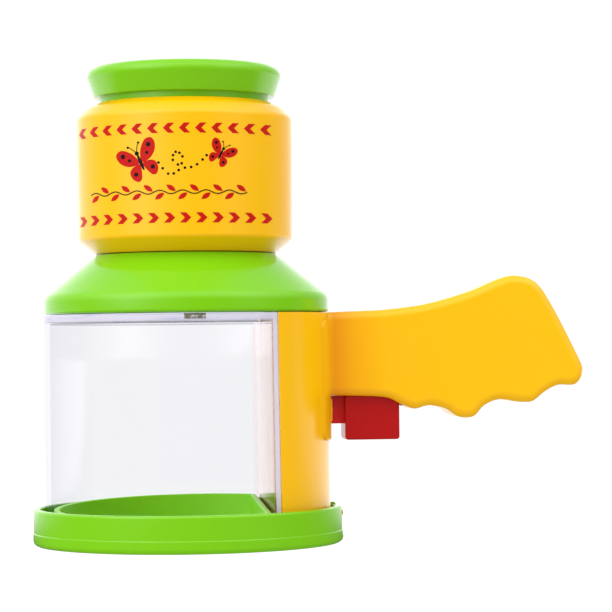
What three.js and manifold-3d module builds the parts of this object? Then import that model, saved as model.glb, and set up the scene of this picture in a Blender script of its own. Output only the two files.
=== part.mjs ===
// A hand-held bug catcher and viewer, in millimetres, +Z up.
// The clear chamber stands on a green tray that swings down as a trap door when the trigger under
// the handle is pulled. A green shoulder and a yellow barrel above it carry two lenses, and the
// green eyepiece slides in and out of the barrel to focus.
// The origin is the middle of the tray's underside. The handle points along +X.
import * as THREE from 'three';
import { mergeVertices } from 'three/addons/utils/BufferGeometryUtils.js';
import Module from 'manifold-3d';

// Gaps that several pieces share
const gap = 0.3; // between fixed pieces that touch
const slideGap = 0.3; // between pieces that slide or turn
const cutOverrun = 5; // how far a cutting shape runs past what it cuts
const weldSink = 0.6; // how far a rib or boss runs into the wall that carries it

// Clear chamber: a D-shaped cup, flat on the handle side, open at the bottom
const body = { radius: 45.4, wall: 1.8, bottomZ: 2.5, height: 69.9, cornerToColumn: 19 };
const roof = { thickness: 3.2, holeMargin: 2.8 };

// Yellow column that closes the handle side of the chamber
const column = { backWall: 1.5, bridge: 1.8, recess: 1.2 };
const saddle = { halfWidth: 18.2, height: 38.1, topMargin: 1.7, cornerRadius: 3, proud: 0.7 };

// Green tray, which is the trap door
const tray = {
  rimGap: 1.8, rimWall: 2, height: 11.7, floor: 2.2, edgeRadius: 1.7, lipRadius: 0.8,
  bandHeight: 3.9, bandProud: 0.25, ringGap: 0.8, ringSwing: 1.5, ringWall: 1.8, ringLowHeight: 9,
  ringHighHeight: 12, notchMargin: 5.9,
};
const hinge = {
  standOff: 1.8, aboveFloor: 7.2, pinRadius: 0.75, boreGap: 0.3, knuckleWall: 0.65, knuckleHalf: 5.1,
};
const lug = { wall: 0.85, width: 3 };
const horn = { reach: 4.2, restAngle: 150, width: 2.6, pinRadius: 0.9, bossWall: 0.6 };

// Trigger, a lever whose short arm pushes the rod down
const trigger = {
  pivotInset: 2.9, pivotRise: 3.1, armReach: 9.5, armWidth: 3, armBossWall: 0.9, armPin: 1, hubWall: 2,
  pinRadius: 1, hubHalf: 3.9, stemHalf: 3.5, stemAbove: 4.3, stemBelow: 4.5, stemLength: 4.6,
  blockHalf: 6.7, blockLength: 17.5, blockHeight: 17.7, blockRise: 3.7, shoulder: 6.5,
  cornerRadius: 1.6, edgeRadius: 0.8,
};
const ear = { wall: 2.1, width: 3.4 };
const leverPlate = { lowY: -1.8, highY: 0.7 }; // the plane of the tray's horn and the trigger's arm

// Push rod, a flat dog-leg plate, with the coil spring that lifts it
const rod = {
  thickness: 2.4, stemWidth: 4, slotMargin: 0.7, slotWall: 1.1, slotPlay: 0.25, collarDrop: 7,
  collarHeight: 1.5, collarOverhang: 1.6, prongWall: 1.5, prongReach: 1,
  forkDepth: 3.1,
};
const shelf = { thickness: 1.3, margin: 1.7, upShare: 0.375 };
const spring = {
  wireRadius: 0.35, coilRadius: 3.15, pitch: 1.85, stepsPerTurn: 8, wireSides: 5, endGap: 0.25,
};

// Green shoulder between chamber and barrel
const shoulder = {
  proud: 0.1, collarHeight: 5.9, height: 19.3, bendRadius: 3, topRadius: 28.9, wall: 2, holeRadius: 25,
};

// Yellow barrel
const barrel = {
  setBack: 0.1, chamferHeight: 4.4, height: 47.9, radius: 34.4, draft: 0.3, crownHeight: 4.9, topWall: 0.6,
  wall: 2, floor: 2.1, guideWall: 1.4, guideLength: 9.6, spigotWall: 0.9, spigotDepth: 2.2, seatLip: 2.4,
  seatWall: 1.4, seatHeight: 5.1,
};
// The crown's points, as shares of its width inward and of its height
const crownShares = [[0, 0], [0.17, 0.32], [0.5, 0.64], [1, 1]];

// Green eyepiece, which slides in the barrel
const eyepiece = {
  neckRadius: 27, travel: 10, beadProud: 1.9, beadHeight: 1.5, neckWall: 1.8, neckShows: 2,
  flangeLip: 1.8, flangeFlare: 4.4, flangeHeight: 9.7, topEdgeRadius: 3, ledgeWidth: 1.6,
  ledgeHeight: 1.5, lipRadius: 0.8,
};
const lensShape = { edge: 1.6, bulge: 1.9, steps: 3, radialGap: 0.3 };
const lensRing = { height: 1.9, width: 1.6, lensGap: 0.35 };

// Handle, in two halves that meet on the plane y = 0
const handle = {
  rootGap: 0.1, length: 81.1, height: 45, dropBelowTop: 33.5, halfWidth: 11, edgeRadius: 2.8, wall: 2,
  seamHalfGap: 0.15, openingMargin: 2.4, openingRise: 9.5,
};
// The outline's points, as shares of the handle's length and height, from the root's top clockwise
const handleOutlineShares = [
  [0, 0.762], [0.196, 0.773], [0.369, 0.81], [0.543, 0.895], [0.673, 0.989], [0.744, 1.008],
  [0.819, 0.958], [0.88, 0.8], [0.967, 0.492], [1.002, 0.334], [0.973, 0.231], [0.903, 0.224], [0.851, 0.18],
  [0.798, 0.111], [0.738, 0.109], [0.667, 0.127], [0.607, 0.087], [0.562, 0.009], [0.502, 0.009],
  [0.45, 0.067], [0.386, 0.091], [0.326, 0.069], [0.27, 0.109], [0.201, 0.156], [0, 0.171],
];

// Screws: along Y through the handle's halves, and along X through the column into the handle
const screw = {
  headRadius: 2.6, headHeight: 1.8, shankRadius: 1, shankReach: 8, slotWidth: 0.7, slotDepth: 0.8,
  boreGap: 0.4, bossRadius: 4.4, headSink: 2.6,
};
// Places along the handle's length and height
const handleScrewShares = [[0.105, 0.591], [0.425, 0.447], [0.709, 0.736], [0.869, 0.402]];
const saddleScrew = { y: 6.8, abovePivot: 18, bossWall: 1.2, bossLength: 6.5 };

// How finely round shapes are cut
const facets = { full: 48, wide: 36, lens: 32, arch: 18, small: 12, spline: 2, edge: 2 };

const looks = {
  yellow: { color: 0xfdbf16, roughness: 0.28, metalness: 0 },
  green: { color: 0x84d42c, roughness: 0.25, metalness: 0 },
  red: { color: 0xd1242b, roughness: 0.3, metalness: 0 },
  clear: { color: 0xf4f4fb, roughness: 0.05, metalness: 0, transparent: true, opacity: 0.3 },
  white: { color: 0xe9e7df, roughness: 0.45, metalness: 0 },
  steel: { color: 0xb9bcc0, roughness: 0.3, metalness: 1 },
};

const wasm = await Module();
wasm.setup();

// Turns a closed geometry into a solid, with its faces outward
function solidOf(geometry) {
  const plain = geometry.clone();
  plain.deleteAttribute('normal');
  plain.deleteAttribute('uv');
  const merged = mergeVertices(plain);
  const corners = merged.attributes.position;
  const order = merged.index.array;
  const triangles = [];
  const a = new THREE.Vector3();
  const b = new THREE.Vector3();
  const c = new THREE.Vector3();
  let volume = 0;
  for (let i = 0; i < order.length; i += 3) {
    const [p, q, r] = [order[i], order[i + 1], order[i + 2]];
    if (p === q || q === r || r === p) continue;
    triangles.push(p, q, r);
    a.fromBufferAttribute(corners, p);
    b.fromBufferAttribute(corners, q);
    c.fromBufferAttribute(corners, r);
    volume += a.dot(b.cross(c));
  }
  if (volume < 0) triangles.reverse();
  return new wasm.Manifold(new wasm.Mesh({
    numProp: 3,
    vertProperties: new Float32Array(corners.array),
    triVerts: new Uint32Array(triangles),
  }));
}

function geometryOf(solid) {
  const mesh = solid.getMesh();
  const geometry = new THREE.BufferGeometry();
  geometry.setAttribute('position', new THREE.BufferAttribute(new Float32Array(mesh.vertProperties), 3));
  geometry.setIndex(new THREE.BufferAttribute(new Uint32Array(mesh.triVerts), 1));
  const loose = geometry.toNonIndexed();
  loose.computeVertexNormals();
  return loose;
}

const join = (...solids) => solids.reduce((whole, piece) => whole.add(piece));
const cut = (solid, ...tools) => tools.reduce((whole, tool) => whole.subtract(tool), solid);
const radians = THREE.MathUtils.degToRad;

// A box between two corners
function block([lowX, lowY, lowZ], [highX, highY, highZ]) {
  const box = new THREE.BoxGeometry(highX - lowX, highY - lowY, highZ - lowZ);
  return solidOf(box.translate((lowX + highX) / 2, (lowY + highY) / 2, (lowZ + highZ) / 2));
}

// A profile of [radius, z] points turned about the Z axis
function turned(profile, segments = facets.full) {
  const points = profile.map(([radius, z]) => new THREE.Vector2(radius, z));
  return solidOf(new THREE.LatheGeometry(points, segments).rotateX(Math.PI / 2));
}

function closedProfile(profile) {
  return [...profile, profile[0]];
}

// An outline in X and Y, raised from lowZ to highZ
function upright(shape, lowZ, highZ, curveSegments = facets.wide) {
  const raised = new THREE.ExtrudeGeometry(shape, {
    depth: highZ - lowZ, bevelEnabled: false, curveSegments,
  });
  return solidOf(raised.translate(0, 0, lowZ));
}

// An outline in X and Z, run from lowY to highY, with its long edges rounded if asked
function sideways(shape, lowY, highY, { curveSegments = facets.small, edgeRadius = 0 } = {}) {
  const run = new THREE.ExtrudeGeometry(shape, {
    depth: highY - lowY - 2 * edgeRadius,
    bevelEnabled: edgeRadius > 0,
    bevelThickness: edgeRadius,
    bevelSize: edgeRadius,
    bevelOffset: -edgeRadius,
    bevelSegments: facets.edge,
    curveSegments,
  });
  return solidOf(run.rotateX(Math.PI / 2).translate(0, highY - edgeRadius, 0));
}

// An outline in Y and Z, run from lowX to highX
function endways(shape, lowX, highX) {
  const run = new THREE.ExtrudeGeometry(shape, {
    depth: highX - lowX, bevelEnabled: false, curveSegments: facets.edge,
  });
  const alongX = new THREE.Vector3(1, 0, 0);
  const alongY = new THREE.Vector3(0, 1, 0);
  const alongZ = new THREE.Vector3(0, 0, 1);
  run.applyMatrix4(new THREE.Matrix4().makeBasis(alongY, alongZ, alongX));
  return solidOf(run.translate(lowX, 0, 0));
}

// Round bars along each axis
function barAlongY(x, z, radius, lowY, highY, segments = facets.small) {
  const bar = new THREE.CylinderGeometry(radius, radius, highY - lowY, segments);
  return solidOf(bar.translate(x, (lowY + highY) / 2, z));
}

function barAlongX(y, z, radius, lowX, highX) {
  const bar = new THREE.CylinderGeometry(radius, radius, highX - lowX, facets.small);
  return solidOf(bar.rotateZ(-Math.PI / 2).translate((lowX + highX) / 2, y, z));
}

function barAlongZ(radius, lowZ, highZ, segments = facets.full) {
  const bar = new THREE.CylinderGeometry(radius, radius, highZ - lowZ, segments);
  return solidOf(bar.rotateX(Math.PI / 2).translate(0, 0, (lowZ + highZ) / 2));
}

// Points of an arc about [x, z], from one angle to another in degrees
function arc(x, z, radius, fromAngle, toAngle, steps = facets.edge) {
  const points = [];
  for (let i = 0; i <= steps; i += 1) {
    const angle = radians(fromAngle + (toAngle - fromAngle) * i / steps);
    points.push([x + radius * Math.cos(angle), z + radius * Math.sin(angle)]);
  }
  return points;
}

// A circle with its handle side cut off at a chord
function dShape(radius, chordX) {
  const angle = Math.acos(chordX / radius);
  const shape = new THREE.Shape();
  shape.absarc(0, 0, radius, angle, 2 * Math.PI - angle, false);
  shape.closePath();
  return shape;
}

function dRing(radius, wall, chordX) {
  const shape = dShape(radius, chordX);
  shape.holes.push(dShape(radius - wall, chordX - wall));
  return shape;
}

// The piece of a round wall between a chord and the handle side
function archShape(innerRadius, outerRadius, chordX) {
  const outerAngle = Math.acos(chordX / outerRadius);
  const innerAngle = Math.acos(chordX / innerRadius);
  const shape = new THREE.Shape();
  shape.absarc(0, 0, outerRadius, -outerAngle, outerAngle, false);
  shape.absarc(0, 0, innerRadius, innerAngle, -innerAngle, true);
  shape.closePath();
  return shape;
}

function roundedRectangle(left, bottom, right, top, radius) {
  const shape = new THREE.Shape();
  shape.absarc(right - radius, bottom + radius, radius, -Math.PI / 2, 0, false);
  shape.absarc(right - radius, top - radius, radius, 0, Math.PI / 2, false);
  shape.absarc(left + radius, top - radius, radius, Math.PI / 2, Math.PI, false);
  shape.absarc(left + radius, bottom + radius, radius, Math.PI, 1.5 * Math.PI, false);
  shape.closePath();
  return shape;
}

function polygon(points) {
  return new THREE.Shape(points.map(([x, z]) => new THREE.Vector2(x, z)));
}

// A straight bar with square sides between two points in X and Z
function link([fromX, fromZ], [toX, toZ], width) {
  const along = new THREE.Vector2(toX - fromX, toZ - fromZ).normalize();
  const sideX = -along.y * width / 2;
  const sideZ = along.x * width / 2;
  return polygon([
    [fromX + sideX, fromZ + sideZ], [toX + sideX, toZ + sideZ],
    [toX - sideX, toZ - sideZ], [fromX - sideX, fromZ - sideZ],
  ]);
}

// Places worked out from the sizes, from the middle of the chamber outward and upward
const innerRadius = body.radius - body.wall;
const topZ = body.bottomZ + body.height;
const chordX = body.radius - body.cornerToColumn;
const roofHoleRadius = chordX - roof.holeMargin;
const saddleTopZ = topZ - saddle.topMargin;
const saddleBottomZ = saddleTopZ - saddle.height;
const saddleInner = body.radius - column.recess + gap;
const saddleOuter = body.radius + saddle.proud;
const bridgeInner = body.radius - column.recess - column.bridge;

const rimInner = body.radius + tray.rimGap;
const rimRadius = rimInner + tray.rimWall;
const hingeX = body.radius + hinge.standOff;
const hingeZ = tray.floor + hinge.aboveFloor;
const hingeBore = hinge.pinRadius + hinge.boreGap;
const lugLowY = hinge.knuckleHalf + gap;

const handleRootX = body.radius + handle.rootGap;
const handleTipX = handleRootX + handle.length;
const handleLowZ = topZ - handle.dropBelowTop;
const handleHighZ = handleLowZ + handle.height;

const pivotX = body.radius - trigger.pivotInset;
const pivotZ = handleLowZ + trigger.pivotRise;
const stemTopZ = pivotZ + trigger.stemAbove;
const stemBottomZ = pivotZ - trigger.stemBelow;
const hubRadius = trigger.pinRadius + slideGap + trigger.hubWall;
const earRadius = trigger.pinRadius + slideGap + ear.wall;
const earLowY = trigger.hubHalf + slideGap;
const blockLeftX = body.radius + trigger.stemLength;
const blockRightX = blockLeftX + trigger.blockLength;
const screwBore = screw.shankRadius + screw.boreGap;
const saddleScrewZ = pivotZ + saddleScrew.abovePivot;

// The linkage's two pins stand half the stroke above their pivots at rest
const hornAngle = radians(horn.restAngle);
const hornPinX = hingeX + horn.reach * Math.cos(hornAngle);
const hornPinZ = hingeZ + horn.reach * Math.sin(hornAngle);
const armRise = hornPinZ - hingeZ;
const armPinX = pivotX - Math.sqrt(trigger.armReach ** 2 - armRise ** 2);
const armPinZ = pivotZ + armRise;
const rodLowY = leverPlate.highY + slideGap;
const rodHighY = rodLowY + rod.thickness;
const rodStemRightX = armPinX + rod.stemWidth;
const collarTopZ = pivotZ - rod.collarDrop;
const collarBottomZ = collarTopZ - rod.collarHeight;
const hornSlot = horn.pinRadius + rod.slotPlay;
const forkHalf = hornSlot + rod.prongWall;
const forkTopZ = hornPinZ + forkHalf;
const lowShelfZ = forkTopZ + (collarBottomZ - forkTopZ) * shelf.upShare;
const stubEndY = rodHighY + slideGap;

const shoulderFootZ = topZ + gap;
const shoulderTopZ = shoulderFootZ + shoulder.height;
const barrelBottomZ = shoulderTopZ + gap;
const barrelTopZ = barrelBottomZ + barrel.height;
const guideRadius = eyepiece.neckRadius + slideGap;
const guideBottomZ = barrelTopZ - barrel.guideLength;
const spigotRadius = shoulder.holeRadius - gap;
const lowerSeatZ = barrelBottomZ + barrel.floor;
const lowerSeatRadius = spigotRadius - barrel.spigotWall + barrel.seatLip;
const neckBottomZ = guideBottomZ - eyepiece.travel - eyepiece.beadHeight - 2 * slideGap;
const neckBore = eyepiece.neckRadius - eyepiece.neckWall;
const flangeBottomZ = barrelTopZ + eyepiece.neckShows;
const upperSeatZ = flangeBottomZ + gap;

// Clear cup with its flat back wall and a ring for a roof
function chamberWindow() {
  const walls = upright(dRing(body.radius, body.wall, chordX), body.bottomZ, topZ);
  const roofPlate = upright(dShape(body.radius, chordX), topZ - roof.thickness, topZ);
  const hole = barAlongZ(roofHoleRadius, body.bottomZ, topZ + cutOverrun);
  return cut(join(walls, roofPlate), hole);
}

// A guide for the rod's stem, standing inward from the column's wall
function guideShelf(highZ) {
  const lowZ = highZ - shelf.thickness;
  const plate = block(
    [armPinX - shelf.margin, rodLowY - spring.coilRadius, lowZ],
    [innerRadius + weldSink / 2, rodHighY + spring.coilRadius, highZ],
  );
  const slot = block(
    [armPinX - slideGap, rodLowY - slideGap, lowZ - cutOverrun],
    [rodStemRightX + slideGap, rodHighY + slideGap, highZ + cutOverrun],
  );
  return cut(plate, slot);
}

function saddleOutline(grow) {
  return roundedRectangle(
    -saddle.halfWidth - grow, saddleBottomZ - grow,
    saddle.halfWidth + grow, saddleTopZ + grow, saddle.cornerRadius + grow,
  );
}

// Curved wall with a recess for the handle's saddle, hinge lugs and two shelves that guide the rod
function columnHousing() {
  const edgeX = chordX + gap;
  const outerX = body.radius + cutOverrun;
  const bridgeHalf = saddle.halfWidth + column.bridge;
  const doorHalf = earLowY + ear.width + gap;
  const wall = upright(archShape(innerRadius, body.radius, edgeX), body.bottomZ, topZ, facets.arch);
  const bridge = upright(archShape(bridgeInner, body.radius, edgeX), body.bottomZ, topZ, facets.arch)
    .intersect(block([0, -bridgeHalf, saddleBottomZ - column.bridge], [body.radius, bridgeHalf, topZ]));
  const recessRing = archShape(body.radius - column.recess, outerX, edgeX);
  const recess = upright(recessRing, body.bottomZ, topZ, facets.arch)
    .intersect(endways(saddleOutline(gap), 0, outerX));
  const leverDoor = block(
    [bridgeInner - cutOverrun, -doorHalf, stemBottomZ - 3 * gap],
    [outerX, doorHalf, saddleBottomZ + saddle.halfWidth],
  );
  const hornDoor = block(
    [innerRadius - cutOverrun, -hinge.knuckleHalf, -cutOverrun],
    [outerX, hinge.knuckleHalf, hornPinZ + horn.pinRadius + rod.prongWall + 2 * slideGap],
  );
  let solid = cut(join(wall, bridge), recess, leverDoor, hornDoor);
  solid = join(solid, guideShelf(lowShelfZ), guideShelf(collarTopZ + slideGap + shelf.thickness));
  const lugRadius = hingeBore + lug.wall;
  for (const side of [-1, 1]) {
    const [lowY, highY] = [side * lugLowY, side * (lugLowY + lug.width)].sort((p, q) => p - q);
    const arm = block(
      [innerRadius + weldSink / 2, lowY, hingeZ - lugRadius], [hingeX, highY, hingeZ + lugRadius],
    );
    const eye = barAlongY(hingeX, hingeZ, lugRadius, lowY, highY);
    const screwHole = barAlongX(
      side * saddleScrew.y, saddleScrewZ, screwBore, bridgeInner - cutOverrun, outerX,
    );
    solid = cut(join(solid, arm, eye), screwHole);
  }
  const pinHalf = lugLowY + lug.width + cutOverrun;
  return cut(solid, barAlongY(hingeX, hingeZ, hingeBore, -pinHalf, pinHalf));
}

// Flat plate that closes the column behind the chamber
function columnBackPlate() {
  const lowX = chordX + gap;
  const highX = lowX + column.backWall;
  const halfWidth = Math.sqrt(innerRadius ** 2 - highX ** 2) - gap;
  return block([lowX, -halfWidth, body.bottomZ + gap], [highX, halfWidth, topZ - gap]);
}

// Round tray with a rim outside the chamber's wall and a sloping D-shaped ring inside it
function doorTray() {
  const bandRadius = rimRadius + tray.bandProud;
  const dish = turned([
    [0, 0],
    ...arc(bandRadius - tray.edgeRadius, tray.edgeRadius, tray.edgeRadius, -90, 0),
    [bandRadius, tray.bandHeight],
    [rimRadius, tray.bandHeight + tray.bandProud],
    ...arc(rimRadius - tray.lipRadius, tray.height - tray.lipRadius, tray.lipRadius, 0, 90, 2),
    [rimInner, tray.height],
    [rimInner, tray.floor],
    [0, tray.floor],
  ]);
  const notchHalf = hinge.knuckleHalf + tray.notchMargin;
  const notch = block(
    [rimInner - cutOverrun, -notchHalf, tray.floor],
    [bandRadius + cutOverrun, notchHalf, tray.height + cutOverrun],
  );
  const ringRadius = innerRadius - tray.ringGap;
  const ringX = chordX - body.wall - tray.ringSwing;
  const ringLowZ = tray.floor + tray.ringLowHeight;
  const ringHighZ = tray.floor + tray.ringHighHeight;
  const above = ringHighZ + cutOverrun;
  const ring = upright(dRing(ringRadius, tray.ringWall, ringX), tray.floor - weldSink, ringHighZ);
  const slope = sideways(polygon([
    [-ringRadius, ringLowZ], [ringX, ringHighZ], [ringX, above], [-ringRadius, above],
  ]), -rimRadius, rimRadius);

  // Hinge knuckle on its web, and the horn that works the rod
  const knuckleRadius = hingeBore + hinge.knuckleWall;
  const webHalf = knuckleRadius * 0.8;
  const knuckle = barAlongY(hingeX, hingeZ, knuckleRadius, -hinge.knuckleHalf, hinge.knuckleHalf);
  const web = block(
    [hingeX - webHalf, -hinge.knuckleHalf, tray.floor - weldSink],
    [hingeX + webHalf, hinge.knuckleHalf, hingeZ],
  );
  const arm = sideways(
    link([hingeX, hingeZ], [hornPinX, hornPinZ], horn.width), leverPlate.lowY, leverPlate.highY,
  );
  const boss = barAlongY(
    hornPinX, hornPinZ, horn.pinRadius + horn.bossWall, leverPlate.lowY, leverPlate.highY,
  );
  const stub = barAlongY(hornPinX, hornPinZ, horn.pinRadius, leverPlate.highY - weldSink, stubEndY);
  const boreHalf = hinge.knuckleHalf + cutOverrun;
  const bore = barAlongY(hingeX, hingeZ, hingeBore, -boreHalf, boreHalf);
  return cut(join(cut(dish, notch), cut(ring, slope), knuckle, web, arm, boss, stub), bore);
}

function hingePin() {
  const half = lugLowY + lug.width;
  return barAlongY(hingeX, hingeZ, hinge.pinRadius, -half, half);
}

// Red trigger: finger block, stem through the column wall, hub, inner arm and its stub pin
function triggerLever() {
  const highZ = stemTopZ + trigger.blockRise;
  const lowZ = highZ - trigger.blockHeight;
  const radius = trigger.cornerRadius;
  const blockShape = new THREE.Shape();
  blockShape.absarc(blockLeftX + radius, lowZ + radius, radius, Math.PI, 1.5 * Math.PI, false);
  blockShape.absarc(blockRightX - radius, lowZ + radius, radius, 1.5 * Math.PI, 2 * Math.PI, false);
  blockShape.absarc(blockRightX - radius, highZ - radius, radius, 0, Math.PI / 2, false);
  blockShape.lineTo(blockLeftX + trigger.shoulder, highZ);
  blockShape.lineTo(blockLeftX, stemTopZ);
  blockShape.closePath();
  const finger = sideways(blockShape, -trigger.blockHalf, trigger.blockHalf, {
    curveSegments: facets.edge, edgeRadius: trigger.edgeRadius,
  });
  const stem = block(
    [pivotX, -trigger.stemHalf, stemBottomZ], [blockLeftX + weldSink, trigger.stemHalf, stemTopZ],
  );
  const hub = barAlongY(pivotX, pivotZ, hubRadius, -trigger.hubHalf, trigger.hubHalf, facets.arch);
  const arm = sideways(
    link([pivotX, pivotZ], [armPinX, armPinZ], trigger.armWidth), leverPlate.lowY, leverPlate.highY,
  );
  const boss = barAlongY(
    armPinX, armPinZ, trigger.armPin + trigger.armBossWall, leverPlate.lowY, leverPlate.highY,
  );
  const stub = barAlongY(armPinX, armPinZ, trigger.armPin, leverPlate.highY - weldSink, stubEndY);
  const boreHalf = trigger.hubHalf + cutOverrun;
  const bore = barAlongY(pivotX, pivotZ, trigger.pinRadius + slideGap, -boreHalf, boreHalf);
  return cut(join(finger, stem, hub, arm, boss, stub), bore);
}

function triggerPivotPin() {
  const half = trigger.hubHalf + ear.width - gap;
  return barAlongY(pivotX, pivotZ, trigger.pinRadius, -half, half);
}

// Flat rod with a slot for the trigger's pin at the top and a fork for the tray's pin at the bottom
function pushRod() {
  const armSlot = trigger.armPin + rod.slotPlay;
  const slotHalf = trigger.armPin + rod.slotMargin;
  const headHalf = armSlot + rod.slotWall;
  const prongTipX = hornPinX + rod.prongReach;
  const { collarOverhang } = rod;
  const plates = [
    [[armPinX - slotHalf - rod.slotWall, armPinZ - headHalf], [rodStemRightX, armPinZ + headHalf]],
    [[armPinX, hornPinZ - forkHalf], [rodStemRightX, armPinZ + headHalf]],
    [[armPinX - collarOverhang, collarBottomZ], [rodStemRightX + collarOverhang, collarTopZ]],
    [[armPinX, hornPinZ - forkHalf], [prongTipX, forkTopZ]],
  ].map(([[lowX, lowZ], [highX, highZ]]) => block([lowX, rodLowY, lowZ], [highX, rodHighY, highZ]));
  const upperSlot = block(
    [armPinX - slotHalf, rodLowY - cutOverrun, armPinZ - armSlot],
    [armPinX + slotHalf, rodHighY + cutOverrun, armPinZ + armSlot],
  );
  const forkSlot = block(
    [prongTipX - rod.forkDepth, rodLowY - cutOverrun, hornPinZ - hornSlot],
    [prongTipX + cutOverrun, rodHighY + cutOverrun, hornPinZ + hornSlot],
  );
  return cut(join(...plates), upperSlot, forkSlot);
}

// Compression spring round the rod's stem, from the lower shelf up to the collar
function returnSpring() {
  const { wireRadius, coilRadius, pitch, stepsPerTurn, wireSides } = spring;
  const middleX = (armPinX + rodStemRightX) / 2;
  const middleY = (rodLowY + rodHighY) / 2;
  const lowZ = lowShelfZ + spring.endGap + wireRadius;
  const highZ = collarBottomZ - spring.endGap - wireRadius;
  const steps = Math.max(1, Math.round((highZ - lowZ) / pitch)) * stepsPerTurn;
  const rings = [];
  for (let i = 0; i <= steps; i += 1) {
    const angle = 2 * Math.PI * i / stepsPerTurn;
    const z = lowZ + (highZ - lowZ) * i / steps;
    for (let j = 0; j < wireSides; j += 1) {
      const around = 2 * Math.PI * j / wireSides;
      const radius = coilRadius + wireRadius * Math.cos(around);
      rings.push(
        middleX + radius * Math.cos(angle),
        middleY + radius * Math.sin(angle),
        z + wireRadius * Math.sin(around),
      );
    }
  }
  const order = [];
  for (let i = 0; i < steps; i += 1) {
    for (let j = 0; j < wireSides; j += 1) {
      const [here, next] = [i * wireSides + j, i * wireSides + (j + 1) % wireSides];
      order.push(here, next, here + wireSides, next, next + wireSides, here + wireSides);
    }
  }
  const last = steps * wireSides;
  for (let j = 1; j < wireSides - 1; j += 1) {
    order.push(0, j + 1, j, last, last + j, last + j + 1);
  }
  const wire = new THREE.BufferGeometry();
  wire.setAttribute('position', new THREE.Float32BufferAttribute(rings, 3));
  wire.setIndex(order);
  return solidOf(wire);
}

// Hollow cone with an upright collar at its foot
function shoulderCone() {
  const { topRadius, wall, holeRadius, bendRadius } = shoulder;
  const radius = body.radius + shoulder.proud;
  const bendZ = shoulderFootZ + shoulder.collarHeight;
  const slope = Math.atan2(shoulderTopZ - bendZ, radius - topRadius);
  const setBack = bendRadius * Math.tan((Math.PI / 2 - slope) / 2);
  const bendAngle = 90 - THREE.MathUtils.radToDeg(slope);
  return turned(closedProfile([
    [radius, shoulderFootZ],
    ...arc(radius - bendRadius, bendZ - setBack, bendRadius, 0, bendAngle),
    [topRadius, shoulderTopZ],
    [holeRadius, shoulderTopZ],
    [holeRadius, shoulderTopZ - wall],
    [topRadius - wall / 2, shoulderTopZ - wall],
    [radius - wall, bendZ - wall],
    [radius - wall, shoulderFootZ],
  ]));
}

// Barrel: chamfered below, crowned above, with a seat for the lower lens and a guide for the eyepiece
function viewerBarrel() {
  const { wall, radius, spigotWall, seatHeight } = barrel;
  const topRadius = guideRadius + barrel.topWall;
  const guideOuter = guideRadius + barrel.guideWall;
  const seatOuter = lowerSeatRadius + barrel.seatWall;
  const chamferZ = barrelBottomZ + barrel.chamferHeight;
  const crownZ = barrelTopZ - barrel.crownHeight;
  const crown = crownShares.map(([inward, up]) => [
    radius + (topRadius - radius) * inward, crownZ + barrel.crownHeight * up,
  ]);
  const [middleRadius, middleZ] = crown[crown.length - 2];
  return turned(closedProfile([
    [shoulder.topRadius - barrel.setBack, barrelBottomZ],
    [radius - barrel.draft, chamferZ],
    ...crown,
    [guideRadius, barrelTopZ],
    [guideRadius, guideBottomZ],
    [guideOuter, guideBottomZ],
    [guideOuter, barrelTopZ - 1.4 * wall],
    [middleRadius - wall / 2, middleZ - wall],
    [radius - wall, crownZ],
    [radius - wall, chamferZ + wall],
    [seatOuter + wall / 2, lowerSeatZ],
    [seatOuter, lowerSeatZ],
    [seatOuter, lowerSeatZ + seatHeight],
    [lowerSeatRadius, lowerSeatZ + seatHeight],
    [lowerSeatRadius, lowerSeatZ],
    [spigotRadius - spigotWall, lowerSeatZ],
    [spigotRadius - spigotWall, barrelBottomZ - barrel.spigotDepth],
    [spigotRadius, barrelBottomZ - barrel.spigotDepth],
    [spigotRadius, barrelBottomZ],
  ]));
}

// Sliding neck with a stop bead at its foot and a flared flange to grip
function eyepieceBody() {
  const { neckRadius, beadProud, lipRadius, topEdgeRadius } = eyepiece;
  const beadTopZ = neckBottomZ + eyepiece.beadHeight;
  const highZ = flangeBottomZ + eyepiece.flangeHeight;
  const edgeX = neckRadius + eyepiece.flangeFlare - topEdgeRadius;
  const ledgeRadius = neckBore - eyepiece.ledgeWidth;
  return turned(closedProfile([
    [neckRadius + beadProud, neckBottomZ],
    [neckRadius + beadProud, beadTopZ],
    [neckRadius, beadTopZ + beadProud / 4],
    [neckRadius, flangeBottomZ],
    [neckRadius + eyepiece.flangeLip, flangeBottomZ],
    ...arc(edgeX, highZ - topEdgeRadius, topEdgeRadius, 0, 90, 5),
    ...arc(neckBore + lipRadius, highZ - lipRadius, lipRadius, 90, 180, 2),
    [neckBore, upperSeatZ],
    [ledgeRadius, upperSeatZ],
    [ledgeRadius, upperSeatZ - eyepiece.ledgeHeight],
    [neckBore, upperSeatZ - eyepiece.ledgeHeight],
    [neckBore, neckBottomZ],
  ]));
}

// Lens that bulges on both faces, resting on a seat
function lens(radius, seatZ) {
  const lowZ = seatZ + gap;
  const highZ = lowZ + lensShape.edge;
  const face = (rimZ, bulge) => {
    const points = [];
    for (let i = 0; i <= lensShape.steps; i += 1) {
      const share = i / lensShape.steps;
      points.push([radius * share, rimZ + bulge * (1 - share ** 2)]);
    }
    return points;
  };
  const profile = [...face(lowZ, -lensShape.bulge), ...face(highZ, lensShape.bulge).reverse()];
  return turned(profile, facets.lens);
}

function retainingRing(radius, seatZ) {
  const lowZ = seatZ + gap + lensShape.edge + lensRing.lensGap;
  const highZ = lowZ + lensRing.height;
  const innerSide = radius - lensRing.width;
  return turned(closedProfile([
    [radius, lowZ], [radius, highZ], [innerSide, highZ], [innerSide, lowZ],
  ]), facets.lens);
}

// A place on the handle from its shares of length and height
function onHandle([along, up]) {
  return { x: handleRootX + along * handle.length, z: handleLowZ + up * handle.height };
}

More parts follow.
